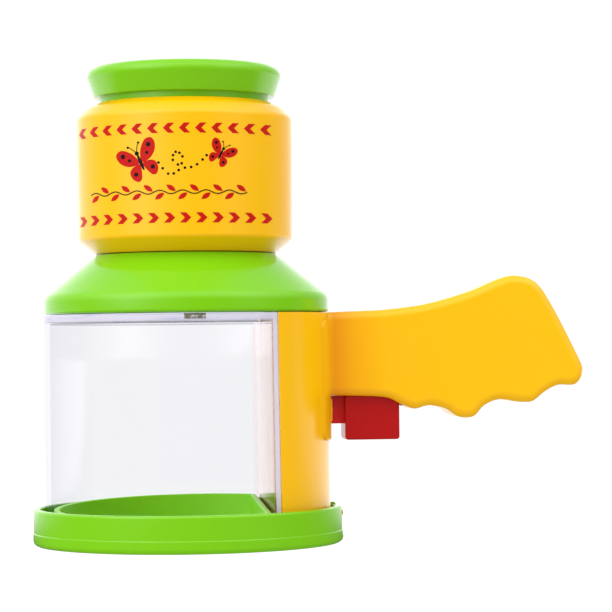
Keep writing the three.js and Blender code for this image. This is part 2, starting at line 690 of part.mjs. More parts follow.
// The handle's outline, moved inward by a wall
function handleOutline(inset) {
  const points = handleOutlineShares.map(onHandle).map(({ x, z }) => new THREE.Vector2(x, z));
  const moved = points.map((point, i) => {
    const before = points[Math.max(i - 1, 0)];
    const after = points[Math.min(i + 1, points.length - 1)];
    const along = after.clone().sub(before).normalize();
    return new THREE.Vector2(point.x + along.y * inset, point.y - along.x * inset);
  });
  const [first, last] = [moved[0], moved[moved.length - 1]];
  const shape = new THREE.Shape();
  shape.moveTo(0, first.y);
  shape.lineTo(first.x, first.y);
  shape.splineThru(moved.slice(1));
  shape.lineTo(0, last.y);
  shape.closePath();
  return shape;
}

const handleScrews = handleScrewShares.map(onHandle);

// One half of the handle: side is -1 for the near half and 1 for the far half, which takes the screws
function handleShell(side) {
  const inner = handle.halfWidth - handle.wall;
  const aboveZ = handleHighZ + cutOverrun;
  const outside = sideways(handleOutline(0), -handle.halfWidth, handle.halfWidth, {
    curveSegments: facets.spline, edgeRadius: handle.edgeRadius,
  });
  const hollow = sideways(handleOutline(handle.wall), -inner, inner, { curveSegments: facets.spline });
  const columnSpace = barAlongZ(body.radius + gap, 0, aboveZ);
  const core = barAlongZ(saddleInner, 0, aboveZ);
  const flangeRing = archShape(saddleInner, saddleOuter, chordX);
  const flange = upright(flangeRing, body.bottomZ, topZ, facets.arch)
    .intersect(endways(saddleOutline(0), 0, saddleOuter + cutOverrun));
  const cavity = cut(hollow, barAlongZ(saddleOuter, 0, aboveZ));
  let solid = join(cut(outside, columnSpace, cavity), flange);

  // Bosses for the screws across the handle
  for (const { x, z } of handleScrews) {
    const reach = inner + weldSink;
    solid = join(solid, barAlongY(x, z, screw.bossRadius, side > 0 ? 0 : -reach, side > 0 ? reach : 0));
  }
  // Boss for the screw through the column
  const bossEndX = saddleOuter + saddleScrew.bossLength;
  const screwY = side * saddleScrew.y;
  const saddleBoss = cut(
    barAlongX(screwY, saddleScrewZ, screwBore + saddleScrew.bossWall, saddleInner - weldSink, bossEndX),
    core,
  );
  // Ears that hold the trigger's pivot pin
  const earHighY = earLowY + ear.width;
  const [lowY, highY] = [side * earLowY, side * earHighY].sort((p, q) => p - q);
  const earPlate = join(
    barAlongY(pivotX, pivotZ, earRadius, lowY, highY, facets.arch),
    block([pivotX, lowY, pivotZ - earRadius], [saddleOuter - weldSink / 2, highY, pivotZ + earRadius]),
  );
  solid = join(solid, saddleBoss, earPlate);

  // Openings for the trigger's stem and block, and the holes
  const blockOpening = trigger.blockHalf + slideGap;
  const tools = [
    block(
      [saddleInner - cutOverrun, -earLowY, stemBottomZ - 2 * gap],
      [saddleOuter + weldSink, earLowY, pivotZ + handle.openingRise],
    ),
    block(
      [saddleOuter, -blockOpening, stemBottomZ - trigger.blockHeight],
      [blockRightX + handle.openingMargin, blockOpening, stemTopZ + 2 * handle.wall],
    ),
    barAlongY(pivotX, pivotZ, trigger.pinRadius + slideGap, -earHighY, earHighY),
    barAlongX(screwY, saddleScrewZ, screwBore, saddleInner - cutOverrun, bossEndX - handle.wall / 2),
  ];
  const outsideY = handle.halfWidth + cutOverrun;
  for (const { x, z } of handleScrews) {
    tools.push(barAlongY(x, z, screwBore, side > 0 ? -cutOverrun : gap - inner, outsideY));
    if (side > 0) {
      const headSeatY = handle.halfWidth - screw.headSink;
      tools.push(barAlongY(x, z, screw.headRadius + screw.boreGap, headSeatY, outsideY));
    }
  }
  const reachX = handleTipX + cutOverrun;
  const reachY = saddle.halfWidth + handle.halfWidth;
  const [fromY, toY] = [side * handle.seamHalfGap, side * reachY].sort((p, q) => p - q);
  return cut(solid, ...tools).intersect(block([0, fromY, 0], [reachX, toY, reachX]));
}

// Pan-head screw along +Z, its head's underside at z = 0 and a cross slot in the head
function screwSolid(shankLength) {
  const { headRadius, headHeight, shankRadius, slotWidth, slotDepth } = screw;
  const profile = turned([
    [0, -headHeight],
    [headRadius * 0.7, -headHeight],
    [headRadius, -headHeight * 0.55],
    [headRadius, 0],
    [shankRadius, 0],
    [shankRadius, shankLength - shankRadius],
    [0, shankLength],
  ], facets.small);
  const slotHalf = headRadius * 0.62;
  const slotTop = -headHeight + slotDepth;
  const slots = [[slotHalf, slotWidth / 2], [slotWidth / 2, slotHalf]].map(([x, y]) => block(
    [-x, -y, -headHeight - cutOverrun], [x, y, slotTop],
  ));
  return cut(profile, ...slots);
}

const catcher = new THREE.Group();
catcher.name = 'bug_catcher';

// Adds one piece to the group; where gives its place, and turn its rotation
function addPiece(name, look, solid, where = [0, 0, 0], turn = [0, 0, 0]) {
  const material = new THREE.MeshStandardMaterial(looks[look]);
  const mesh = new THREE.Mesh(geometryOf(solid), material);
  mesh.name = name;
  mesh.position.set(...where);
  mesh.rotation.set(...turn);
  catcher.add(mesh);
}

addPiece('chamber_window', 'clear', chamberWindow());
addPiece('column_housing', 'yellow', columnHousing());
addPiece('column_back_plate', 'yellow', columnBackPlate());
addPiece('door_tray', 'green', doorTray());
addPiece('hinge_pin', 'steel', hingePin());
addPiece('trigger', 'red', triggerLever());
addPiece('trigger_pivot_pin', 'steel', triggerPivotPin());
addPiece('push_rod', 'white', pushRod());
addPiece('return_spring', 'steel', returnSpring());
addPiece('shoulder_cone', 'green', shoulderCone());
addPiece('viewer_barrel', 'yellow', viewerBarrel());
addPiece('eyepiece', 'green', eyepieceBody());

const lowerLensRadius = lowerSeatRadius - lensShape.radialGap;
addPiece('chamber_lens', 'clear', lens(lowerLensRadius, lowerSeatZ));
addPiece('chamber_lens_ring', 'white', retainingRing(lowerLensRadius, lowerSeatZ));
const upperLensRadius = neckBore - lensShape.radialGap;
addPiece('eyepiece_lens', 'clear', lens(upperLensRadius, upperSeatZ));
addPiece('eyepiece_lens_ring', 'green', retainingRing(upperLensRadius, upperSeatZ));

addPiece('handle_shell_near', 'yellow', handleShell(-1));
addPiece('handle_shell_far', 'yellow', handleShell(1));
const headSeatY = handle.halfWidth - screw.headSink + gap;
const handleScrewSolid = screwSolid(headSeatY - gap + screw.shankReach);
handleScrews.forEach(({ x, z }, i) => {
  addPiece(`handle_screw_${i + 1}`, 'steel', handleScrewSolid, [x, headSeatY, z], [Math.PI / 2, 0, 0]);
});
const saddleScrewSolid = screwSolid(screw.shankReach);
const bridgeAtHeadX = Math.sqrt(bridgeInner ** 2 - (saddleScrew.y + screw.headRadius) ** 2);
[-1, 1].forEach((side, i) => {
  const where = [bridgeAtHeadX - gap, side * saddleScrew.y, saddleScrewZ];
  addPiece(`saddle_screw_${i + 1}`, 'steel', saddleScrewSolid, where, [0, Math.PI / 2, 0]);
});

export default catcher;
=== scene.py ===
# A hand-held bug catcher: clear chamber on a trap-door tray, lens barrel above, side handle with a trigger.
# Meshes are drawn in millimetres and scaled to metres when each piece is finished.
import math
from contextlib import contextmanager
from types import SimpleNamespace

import bmesh
import bpy
from mathutils import Matrix, Vector


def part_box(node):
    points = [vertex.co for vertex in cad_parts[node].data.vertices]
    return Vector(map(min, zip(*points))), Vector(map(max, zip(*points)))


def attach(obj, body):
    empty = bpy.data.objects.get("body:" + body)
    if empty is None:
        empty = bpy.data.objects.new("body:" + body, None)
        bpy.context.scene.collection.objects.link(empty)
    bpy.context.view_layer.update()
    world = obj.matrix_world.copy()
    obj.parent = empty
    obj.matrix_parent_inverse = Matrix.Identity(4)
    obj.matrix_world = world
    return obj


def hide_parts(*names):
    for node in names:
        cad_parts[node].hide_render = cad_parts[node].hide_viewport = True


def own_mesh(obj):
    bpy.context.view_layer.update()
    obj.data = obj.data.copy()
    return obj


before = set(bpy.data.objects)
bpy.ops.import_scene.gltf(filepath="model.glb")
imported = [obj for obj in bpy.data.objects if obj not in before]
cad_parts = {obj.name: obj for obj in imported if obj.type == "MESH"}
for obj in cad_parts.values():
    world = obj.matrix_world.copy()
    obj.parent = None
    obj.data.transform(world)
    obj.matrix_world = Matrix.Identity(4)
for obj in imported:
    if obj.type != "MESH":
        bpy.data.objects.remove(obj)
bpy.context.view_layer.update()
scene = bpy.context.scene
scene.view_settings.view_transform = "Standard"
mm = 0.001
white = (1.0, 1.0, 1.0, 1.0)

# Camera: the photograph's angle, a long lens a little below the chamber's roof
view = {
    "place": (-40.1, -815.9, 62.4), "yaw": 5.5, "pitch": 0.9, "roll": -0.65,
    "lens": 150.0, "sensor": 36.0, "farthest": 50.0,
}

cameraData = bpy.data.cameras.new("camera")
cameraData.lens = view["lens"]
cameraData.sensor_width = view["sensor"]
cameraData.clip_end = view["farthest"]
camera = bpy.data.objects.new("camera", cameraData)
turn = Matrix.Rotation(math.radians(-view["yaw"]), 4, "Z")
turn @= Matrix.Rotation(math.radians(90 + view["pitch"]), 4, "X")
turn @= Matrix.Rotation(math.radians(view["roll"]), 4, "Z")
camera.matrix_world = Matrix.Translation(Vector(view["place"]) * mm) @ turn
scene.collection.objects.link(camera)
scene.camera = camera


def toLinear(hexColor):
    channels = [int(hexColor[i:i + 2], 16) / 255 for i in (1, 3, 5)]
    return tuple(c / 12.92 if c <= 0.04045 else ((c + 0.055) / 1.055) ** 2.4 for c in channels) + (1.0,)


def addNode(tree, kind, settings=None):
    # A socket, or a node for its first output, is linked, and so is a list of them; else the value is set
    node = tree.nodes.new(kind)
    for key, value in (settings or {}).items():
        sources = [
            source.outputs[0] if isinstance(source, bpy.types.Node) else source
            for source in (value if isinstance(value, list) else [value])
        ]
        if isinstance(sources[0], bpy.types.NodeSocket):
            for source in sources:
                tree.links.new(source, node.inputs[key])
        elif isinstance(key, int) or key in node.inputs:
            node.inputs[key].default_value = value
        else:
            setattr(node, key, value)
    return node


def makeMaterial(name, surface, *options):
    # The function surface adds the nodes and gives the one whose first output is the finish
    material = bpy.data.materials.new(name)
    material.use_nodes = True
    tree = material.node_tree
    tree.nodes.clear()
    addNode(tree, "ShaderNodeOutputMaterial", {"Surface": surface(tree, *options)})
    return material


# Soft studio light: a white tent, dim towards the camera, with broad bright patches where the lamps stand.
# Each patch has a direction, a number for how tightly it is gathered, and its power.
# The floor's place and reach are in metres, as the studio's are.
studio = {
    "seen": 1.1, "even": 0.02, "floorLow": -0.0002, "floorReach": 12.0, "floorThrown": 0.85,
    "floorNear": 0.1, "floorFar": 1.6, "nearY": 0.02, "farY": 0.18,
    "patches": [
        ((0.0, 1.0, 0.1), 1.0, 1.04), ((0.0, 1.0, 0.1), 5.0, 0.66),
        ((-0.45, -0.50, 0.74), 5.0, 1.42), ((0.52, -0.42, 0.74), 5.0, 1.12),
        ((-0.66, -0.24, 0.71), 8.0, 1.46), ((0.66, -0.24, 0.71), 8.0, 1.28), ((0.0, -0.6, 0.8), 6.0, 0.19),
        ((-0.76, -0.64, 0.14), 6.0, 1.11), ((-0.76, -0.64, 0.14), 26.0, 0.94),
        ((0.75, -0.65, 0.14), 26.0, 0.5), ((-0.75, 0.63, 0.17), 6.0, 0.38),
    ],
}


def eitherRay(tree, *kinds):
    rays = addNode(tree, "ShaderNodeLightPath")
    first, second = (rays.outputs["Is " + kind + " Ray"] for kind in kinds)
    return addNode(tree, "ShaderNodeMath", {"operation": "MAXIMUM", 0: first, 1: second})


def seenDirectly(tree, lit, seen):
    # What the eye sees, straight or through the clear walls, is not what lights the part
    direct = eitherRay(tree, "Camera", "Transmission")
    return addNode(tree, "ShaderNodeMixShader", {0: direct, 1: lit, 2: seen})


# White paper: the eye sees the plain backdrop through it, it throws light up as the tent does,
# and what gloss mirrors of it is dim in front and bright behind
def sweepPaper(tree):
    place = addNode(tree, "ShaderNodeTexCoord").outputs["Object"]
    place = addNode(tree, "ShaderNodeSeparateXYZ", {0: place})
    mirrored = addNode(tree, "ShaderNodeMapRange", {
        "From Min": studio["nearY"], "From Max": studio["farY"], "To Min": studio["floorNear"],
        "To Max": studio["floorFar"], "Value": place.outputs["Y"],
    })
    throw = addNode(tree, "ShaderNodeEmission", {"Color": white, "Strength": studio["floorThrown"]})
    shine = addNode(tree, "ShaderNodeEmission", {"Color": white, "Strength": mirrored})
    rays = addNode(tree, "ShaderNodeLightPath")
    lit = addNode(tree, "ShaderNodeMixShader", {0: rays.outputs["Is Glossy Ray"], 1: throw, 2: shine})
    clear = addNode(tree, "ShaderNodeBsdfTransparent", {"Color": white})
    return seenDirectly(tree, lit, clear)


def buildStudio():
    world = bpy.data.worlds.new("studio")
    scene.world = world
    world.use_nodes = True
    tree = world.node_tree
    tree.nodes.clear()
    direction = addNode(tree, "ShaderNodeTexCoord").outputs["Generated"]
    total = studio["even"]
    for towards, gathered, power in studio["patches"]:
        near = addNode(tree, "ShaderNodeVectorMath", {
            "operation": "DOT_PRODUCT", 0: direction, 1: Vector(towards).normalized(),
        })
        facing = addNode(tree, "ShaderNodeMath", {"operation": "MAXIMUM", 0: near.outputs["Value"], 1: 0.0})
        falling = addNode(tree, "ShaderNodeMath", {"operation": "POWER", 0: facing, 1: gathered})
        total = addNode(tree, "ShaderNodeMath", {"operation": "MULTIPLY_ADD", 0: falling, 1: power, 2: total})
    lit = addNode(tree, "ShaderNodeBackground", {"Color": white, "Strength": total})
    seen = addNode(tree, "ShaderNodeBackground", {"Color": white, "Strength": studio["seen"]})
    surface = seenDirectly(tree, lit, seen)
    addNode(tree, "ShaderNodeOutputWorld", {"Surface": surface})

    mesh = bpy.data.meshes.new("floor")
    reach, low = studio["floorReach"], studio["floorLow"]
    corners = [(-reach, -reach, low), (reach, -reach, low), (reach, reach, low), (-reach, reach, low)]
    mesh.from_pydata(corners, [], [(0, 1, 2, 3)])
    mesh.materials.append(makeMaterial("white sweep paper", sweepPaper))
    floor = bpy.data.objects.new("floor", mesh)
    scene.collection.objects.link(floor)


buildStudio()
print("studio ready")


# Materials, each named for the real one.
# Glossy moulded ABS: an even colour with soft broad reflections, a faint waviness from the mould
# and, where the tool's halves met, a hairline ridge in the plane x cos a + y sin a = 0.
# Brighter copies are painted light on the tray's thin ring and the trigger's stem; the handle's root has
# painted shade.
plastics = {
    "yellow": {"color": "#FDBF05", "roughness": 0.22},
    "green": {"color": "#7BC810", "roughness": 0.20},
    "cone green": {"color": "#7BC810", "roughness": 0.13},
    "painted backlit green": {"color": "#9EF02A", "roughness": 0.45},
    "red": {"color": "#B90405", "roughness": 0.30},
    "painted lit red": {"color": "#E40505", "roughness": 0.45},
}
# Sizes in mm; the grain is drawn coarser than the real polish so that it shows
mould = {
    "grain": 0.6, "grainHeight": 0.12, "wave": 18.182, "polishSpread": 0.05, "ridgeHalf": 0.25,
    "ridgeHeight": 1.6, "bumpStrength": 0.35, "bumpDistance": 0.04, "ior": 1.43,
}


def mouldedAbs(tree, look, partingAngle=None, rootShade=None):
    m = SimpleNamespace(**mould)
    place = addNode(tree, "ShaderNodeTexCoord").outputs["Object"]
    grain = addNode(tree, "ShaderNodeTexNoise", {"Scale": 1 / (m.grain * mm), "Detail": 2.0, "Vector": place})
    waves = addNode(tree, "ShaderNodeTexNoise", {"Scale": 1 / (m.wave * mm), "Detail": 1.0, "Vector": place})
    polish = addNode(tree, "ShaderNodeMapRange", {
        "To Min": look["roughness"] - m.polishSpread, "To Max": look["roughness"] + m.polishSpread,
        "Value": waves,
    })
    height = addNode(tree, "ShaderNodeMath", {"operation": "MULTIPLY", 0: grain, 1: m.grainHeight})
    if partingAngle is not None:
        angle = math.radians(partingAngle)
        across = addNode(tree, "ShaderNodeVectorMath", {
            "operation": "DOT_PRODUCT", 0: place, 1: (math.cos(angle), math.sin(angle), 0.0),
        })
        away = addNode(tree, "ShaderNodeMath", {"operation": "ABSOLUTE", 0: across.outputs["Value"]})
        ridge = addNode(tree, "ShaderNodeMapRange", {
            "From Min": 0.0, "From Max": m.ridgeHalf * mm, "To Min": m.ridgeHeight, "To Max": 0.0,
            "Value": away,
        })
        height = addNode(tree, "ShaderNodeMath", {"operation": "ADD", 0: height, 1: ridge})
    bump = addNode(tree, "ShaderNodeBump", {
        "Strength": m.bumpStrength, "Distance": m.bumpDistance * mm, "Height": height,
    })
    shader = addNode(tree, "ShaderNodeBsdfPrincipled", {
        "Base Color": toLinear(look["color"]), "IOR": m.ior, "Roughness": polish, "Normal": bump,
    })
    if rootShade:
        # Painted shade: the colour runs darker near the handle's root, where the column shades it, by the
        # place along X in mm
        along = addNode(tree, "ShaderNodeSeparateXYZ", {0: place})
        first, last = rootShade[0][0], rootShade[-1][0]
        share = addNode(tree, "ShaderNodeMapRange", {
            "From Min": first * mm, "From Max": last * mm, "Value": along.outputs["X"],
        })
        tones = addNode(tree, "ShaderNodeValToRGB", {0: share})
        stops = tones.color_ramp.elements
        for x, color in rootShade[1:-1]:
            stops.new((x - first) / (last - first)).color = toLinear(color)
        stops[0].color, stops[len(stops) - 1].color = toLinear(rootShade[0][1]), toLinear(rootShade[-1][1])
        tree.links.new(tones.outputs["Color"], shader.inputs["Base Color"])
    return shader


# Clear moulded polystyrene: water-clear thin walls whose gloss grows where they turn away from the eye
glaze = {"gloss": 0.02, "rise": 5.0, "roughness": 0.02, "tintFrom": 0.25, "tintTo": 0.85}


def glazed(tree, body, edgeGloss, mirrorTint="#FFFFFF"):
    # The surface's own mirror share over what lies behind it; lamp light passes unhindered
    turned = addNode(tree, "ShaderNodeLayerWeight", {"Blend": 0.5}).outputs["Facing"]
    rising = addNode(tree, "ShaderNodeMath", {"operation": "POWER", 0: turned, 1: glaze["rise"]})
    mirror = addNode(tree, "ShaderNodeMath", {
        "operation": "MULTIPLY_ADD", 0: rising, 1: edgeGloss - glaze["gloss"], 2: glaze["gloss"],
    })
    share = addNode(tree, "ShaderNodeMath", {
        "operation": "SUBTRACT", "use_clamp": True, 0: mirror, 1: eitherRay(tree, "Shadow", "Diffuse"),
    })
    gloss = addNode(tree, "ShaderNodeBsdfGlossy", {
        "Color": toLinear(mirrorTint), "Roughness": glaze["roughness"],
    })
    return addNode(tree, "ShaderNodeMixShader", {0: share, 1: body, 2: gloss})


def clearStyrene(tree, tint, edgeTint, edgeGloss, mirrorTint="#FFFFFF"):
    # Turned away from the eye, a wall is longer to look through and so a little deeper in colour
    turned = addNode(tree, "ShaderNodeLayerWeight", {"Blend": 0.5}).outputs["Facing"]
    tone = addNode(tree, "ShaderNodeValToRGB", {0: turned})
    first, last = tone.color_ramp.elements
    first.position, last.position = glaze["tintFrom"], glaze["tintTo"]
    first.color, last.color = toLinear(tint), toLinear(edgeTint)
    clear = addNode(tree, "ShaderNodeBsdfTransparent", {"Color": tone.outputs["Color"]})
    return glazed(tree, clear, edgeGloss, mirrorTint)


# Thick polystyrene edges: light piped along the wall comes out as a milky lavender glow,
# with flat streaks from the way the melt flowed
glow = {
    "through": "#F3F1FB", "bright": "#EEE8FF", "streakLong": 22.222, "streakHigh": 1.6667,
    "streakDetail": 3.0, "streakEnds": 0.36, "brightBegins": 0.5, "frontShare": 0.75,
    "milkyShare": 0.75, "edgeGloss": 0.3,
}


def edgeLitStyrene(tree, streakColor):
    through = addNode(tree, "ShaderNodeBsdfTransparent", {"Color": toLinear(glow["through"])})
    place = addNode(tree, "ShaderNodeTexCoord").outputs["Object"]
    flow = tuple(1 / (glow[size] * mm) for size in ("streakLong", "streakLong", "streakHigh"))
    flat = addNode(tree, "ShaderNodeVectorMath", {"operation": "MULTIPLY", 0: place, 1: flow})
    streaks = addNode(tree, "ShaderNodeTexNoise", {
        "Scale": 1.0, "Detail": glow["streakDetail"], "Vector": flat.outputs["Vector"],
    })
    tone = addNode(tree, "ShaderNodeValToRGB", {0: streaks})
    first, last = tone.color_ramp.elements
    first.position, last.position = glow["streakEnds"], glow["brightBegins"]
    first.color, last.color = toLinear(streakColor), toLinear(glow["bright"])
    behind = addNode(tree, "ShaderNodeBsdfTranslucent", {"Color": tone.outputs["Color"]})
    front = addNode(tree, "ShaderNodeBsdfDiffuse", {"Color": tone.outputs["Color"]})
    milky = addNode(tree, "ShaderNodeMixShader", {0: glow["frontShare"], 1: behind, 2: front})
    body = addNode(tree, "ShaderNodeMixShader", {0: glow["milkyShare"], 1: through, 2: milky})
    return glazed(tree, body, glow["edgeGloss"])


# The gate's torn stub: rough styrene, dark where it scatters and clear where it sparkles
torn = {
    "fleck": 1.1, "darkTo": 0.42, "clearFrom": 0.6, "roughness": 0.3, "dark": "#6F6858", "clear": "#D8D6D2",
}


def tornStyrene(tree):
    place = addNode(tree, "ShaderNodeTexCoord").outputs["Object"]
    flecks = addNode(tree, "ShaderNodeTexNoise", {
        "Scale": 1 / (torn["fleck"] * mm), "Detail": 2.0, "Vector": place,
    })
    share = addNode(tree, "ShaderNodeMapRange", {
        "From Min": torn["darkTo"], "From Max": torn["clearFrom"], "Value": flecks,
    })
    dark = addNode(tree, "ShaderNodeBsdfPrincipled", {
        "Base Color": toLinear(torn["dark"]), "Roughness": torn["roughness"],
    })
    clear = addNode(tree, "ShaderNodeBsdfTransparent", {"Color": toLinear(torn["clear"])})
    return addNode(tree, "ShaderNodeMixShader", {0: share, 1: dark, 2: clear})


# Lens polystyrene: clear and polished, and it bends the view but lets lamp light through
lensLook = {"Roughness": 0.0, "IOR": 1.59, "Transmission Weight": 1.0}


def lensPolystyrene(tree):
    shader = addNode(tree, "ShaderNodeBsdfPrincipled", {"Base Color": toLinear("#FCFCFF"), **lensLook})
    through = addNode(tree, "ShaderNodeBsdfTransparent", {"Color": toLinear("#F4F4F8")})
    return addNode(tree, "ShaderNodeMixShader", {
        0: eitherRay(tree, "Shadow", "Diffuse"), 1: shader, 2: through,
    })


# Plain finishes. Pad-printed ink is a thin, even, slightly dull film; natural acetal is milky white
# and waxy, as moulded working parts are
inkLook = {"Roughness": 0.4, "IOR": 1.42, "Specular IOR Level": 0.2}
acetalLook = {"Roughness": 0.4, "IOR": 1.48}


def plainFinish(tree, color, look):
    return addNode(tree, "ShaderNodeBsdfPrincipled", {"Base Color": toLinear(color), **look})


# Zinc-plated steel: a cool grey metal with a soft sheen, patchy from the plating bath
zinc = {"patch": 1.1111, "color": "#C4C7CA", "bright": 0.28, "dull": 0.46}


def zincPlatedSteel(tree):
    place = addNode(tree, "ShaderNodeTexCoord").outputs["Object"]
    patches = addNode(tree, "ShaderNodeTexNoise", {
        "Scale": 1 / (zinc["patch"] * mm), "Detail": 3.0, "Vector": place,
    })
    dull = addNode(tree, "ShaderNodeMapRange", {
        "To Min": zinc["bright"], "To Max": zinc["dull"], "Value": patches,
    })
    return addNode(tree, "ShaderNodeBsdfPrincipled", {
        "Base Color": toLinear(zinc["color"]), "Metallic": 1.0, "Roughness": dull,
    })


# Painted shade on the handle: darker orange near its root against the column, by X in mm
handleRootShade = [(44.5, "#FDBF05"), (46.5, "#F4A004"), (53.0, "#FBB304"), (63.0, "#FDBF05")]
yellowAbs = makeMaterial("yellow ABS, moulded", mouldedAbs, plastics["yellow"])
handleAbs = makeMaterial("yellow ABS, handle with painted root shade", mouldedAbs, plastics["yellow"], None, handleRootShade)
barrelAbs = makeMaterial("yellow ABS, barrel", mouldedAbs, plastics["yellow"], 14.0)
greenAbs = makeMaterial("green ABS, moulded", mouldedAbs, plastics["green"])
# Painted light: a brighter copy of the green for the tray's inner ring
paintedBacklitGreenAbs = makeMaterial("green ABS, painted backlight", mouldedAbs, plastics["painted backlit green"])
coneAbs = makeMaterial("green ABS, shoulder", mouldedAbs, plastics["cone green"], -1.0)
redAbs = makeMaterial("red ABS, moulded", mouldedAbs, plastics["red"])
# Painted light: a brighter copy of the red for the trigger's shaded stem
paintedLitRedAbs = makeMaterial("red ABS, stem with painted light", mouldedAbs, plastics["painted lit red"])
windowStyrene = makeMaterial("clear polystyrene, chamber", clearStyrene, "#FBFBFC", "#F5F5F7", 0.04)
# Painted shade: a grey tint on the tight inner bend under the roof stands in for the light its curve refracts
# away
bendShadeStyrene = makeMaterial("clear polystyrene, painted bend shade", clearStyrene, "#D6D4D9", "#D6D4D9", 0.3)
# Painted reflection: the flat wall's faint warm tint and dimmer warm mirror stand in for the yellow column's
# light and shade
flatReflectStyrene = makeMaterial(
    "clear polystyrene, flat wall with painted reflection", clearStyrene, "#FBF7F7", "#FBF7F7", 0.95, "#DDD7D5",
)
thickEdge = makeMaterial("clear polystyrene, thick edge", edgeLitStyrene, "#EDE8FF")
thickRim = makeMaterial("clear polystyrene, thick rim", edgeLitStyrene, "#D6CFF4")
tornGate = makeMaterial("clear polystyrene, torn gate", tornStyrene)
lensStyrene = makeMaterial("clear polystyrene, lens", lensPolystyrene)
redInk = makeMaterial("red pad-print ink", plainFinish, "#C5120A", inkLook)
blackInk = makeMaterial("black pad-print ink", plainFinish, "#0D0A0A", inkLook)
steel = makeMaterial("zinc-plated steel", zincPlatedSteel)
acetal = makeMaterial("natural acetal", plainFinish, "#EFECE2", acetalLook)
print("materials ready")


# Shapes in two dimensions, in millimetres
def roundPath(corners, closed=True, steps=6):
    points = []
    count = len(corners)
    for i, corner in enumerate(corners):
        here = Vector(corner[:2])
        radius = corner[2]
        if radius == 0 or (not closed and i in (0, count - 1)):
            points.append(here)
            continue
        before = (Vector(corners[i - 1][:2]) - here).normalized()
        after = (Vector(corners[(i + 1) % count][:2]) - here).normalized()
        half = before.angle(after) / 2
        reach = radius / math.tan(half)
        centre = here + (before + after).normalized() * radius / math.sin(half)
        start = here + before * reach - centre
        end = here + after * reach - centre
        fromAngle = math.atan2(start.y, start.x)
        sweep = (math.atan2(end.y, end.x) - fromAngle + math.pi) % (2 * math.pi) - math.pi
        for k in range(steps + 1):
            points.append(centre + onCircle(1.0, fromAngle + sweep * k / steps) * radius)
    return points


def onCircle(radius, angle, x=0.0, y=0.0):
    return Vector((x + radius * math.cos(angle), y + radius * math.sin(angle)))


def circle(x, y, radius, steps=48):
    return [onCircle(radius, 2 * math.pi * k / steps, x, y) for k in range(steps)]


def arcPoints(radius, fromAngle, toAngle, steps):
    return [onCircle(radius, fromAngle + (toAngle - fromAngle) * k / steps) for k in range(steps + 1)]


def dOutline(radius, chordX, corner, steps=160, filletSteps=6):
    # A fillet of the corner's radius touches the circle from inside and the chord
    centreX = chordX - corner
    centreY = math.sqrt((radius - corner) ** 2 - centreX ** 2)
    touch = math.atan2(centreY, centreX)
    centre = Vector((centreX, centreY))
    fillet = [centre + onCircle(1.0, touch * k / filletSteps) * corner for k in range(filletSteps + 1)]
    arc = arcPoints(radius, touch, 2 * math.pi - touch, steps)
    return fillet + arc[1:-1] + [Vector((point.x, -point.y)) for point in reversed(fillet)]


def archOutline(innerRadius, outerRadius, chordX, steps):
    outer = math.acos(chordX / outerRadius)
    inner = math.acos(chordX / innerRadius)
    return arcPoints(outerRadius, -outer, outer, steps) + arcPoints(innerRadius, inner, -inner, steps)


def rectangle(left, low, right, high, radius=0.0):
    return roundPath([(left, low, radius), (right, low, radius), (right, high, radius), (left, high, radius)])


def alongAt(line, i):
    # Which way a line runs at one of its points
    return (line[min(i + 1, len(line) - 1)] - line[max(i - 1, 0)]).normalized()


def smoothLine(points, steps, closed=False):
    # A curve through the points, as a spline through each four neighbours
    line = []
    count = len(points)
    for i in range(count if closed else count - 1):
        around = [k % count if closed else min(max(k, 0), count - 1) for k in range(i - 1, i + 3)]
        a, b, c, d = (Vector(points[k]) for k in around)
        for k in range(steps):
            t = k / steps
            bend = (2 * a - 5 * b + 4 * c - d) * t * t
            line.append(0.5 * (2 * b + (c - a) * t + bend + (3 * b - a - 3 * c + d) * t ** 3))
    return line if closed else line + [points[-1]]


# Shapes in three dimensions
upright = lambda u, v, w: (u, v, w)  # an outline in X and Y, raised along Z
sideways = lambda u, v, w: (u, w, v)  # an outline in X and Z, run along Y
endways = lambda u, v, w: (w, u, v)  # an outline in Y and Z, run along X
past = 5.0  # mm; a cutting shape reaches this far past what it cuts
beyond = 120.0  # mm; longer than what is cut right through
drawnMerge, finishedMerge, onLevel = 0.00001, 0.0005, 0.0001  # mm; places closer than this are one


def newObject(name, verts, faces):
    mesh = bpy.data.meshes.new(name)
    mesh.from_pydata(verts, [], faces)
    shape = bpy.data.objects.new(name, mesh)
    scene.collection.objects.link(shape)
    return shape


@contextmanager
def editing(shape):
    work = bmesh.new()
    work.from_mesh(shape.data)
    yield work
    work.to_mesh(shape.data)
    work.free()


def tidyMesh(shape, merge):
    with editing(shape) as work:
        bmesh.ops.remove_doubles(work, verts=work.verts, dist=merge)
        bmesh.ops.recalc_face_normals(work, faces=work.faces)
    return shape


def splitAt(work, place, across):
    # New edges where a plane crosses
    everything = work.verts[:] + work.edges[:] + work.faces[:]
    bmesh.ops.bisect_plane(work, geom=everything, dist=drawnMerge, plane_co=place, plane_no=across)


def prism(outline, low, high, place, rounded=(0.0, 0.0), steps=4):
    count = len(outline)
    verts = [place(p[0], p[1], level) for level in (low, high) for p in outline]
    faces = [tuple(range(count)), tuple(range(count, 2 * count))]
    faces += [(k, (k + 1) % count, (k + 1) % count + count, k + count) for k in range(count)]
    shape = tidyMesh(newObject("prism", verts, faces), drawnMerge)
    axis = place(0, 0, 1).index(1)
    for level, radius in zip((low, high), rounded):
        if radius > 0:
            with editing(shape) as work:
                rim = [e for e in work.edges if all(abs(v.co[axis] - level) < onLevel for v in e.verts)]
                bmesh.ops.bevel(
                    work, geom=rim, offset=radius, offset_type="OFFSET", segments=steps, profile=0.5,
                    affect="EDGES", clamp_overlap=False,
                )
    return shape


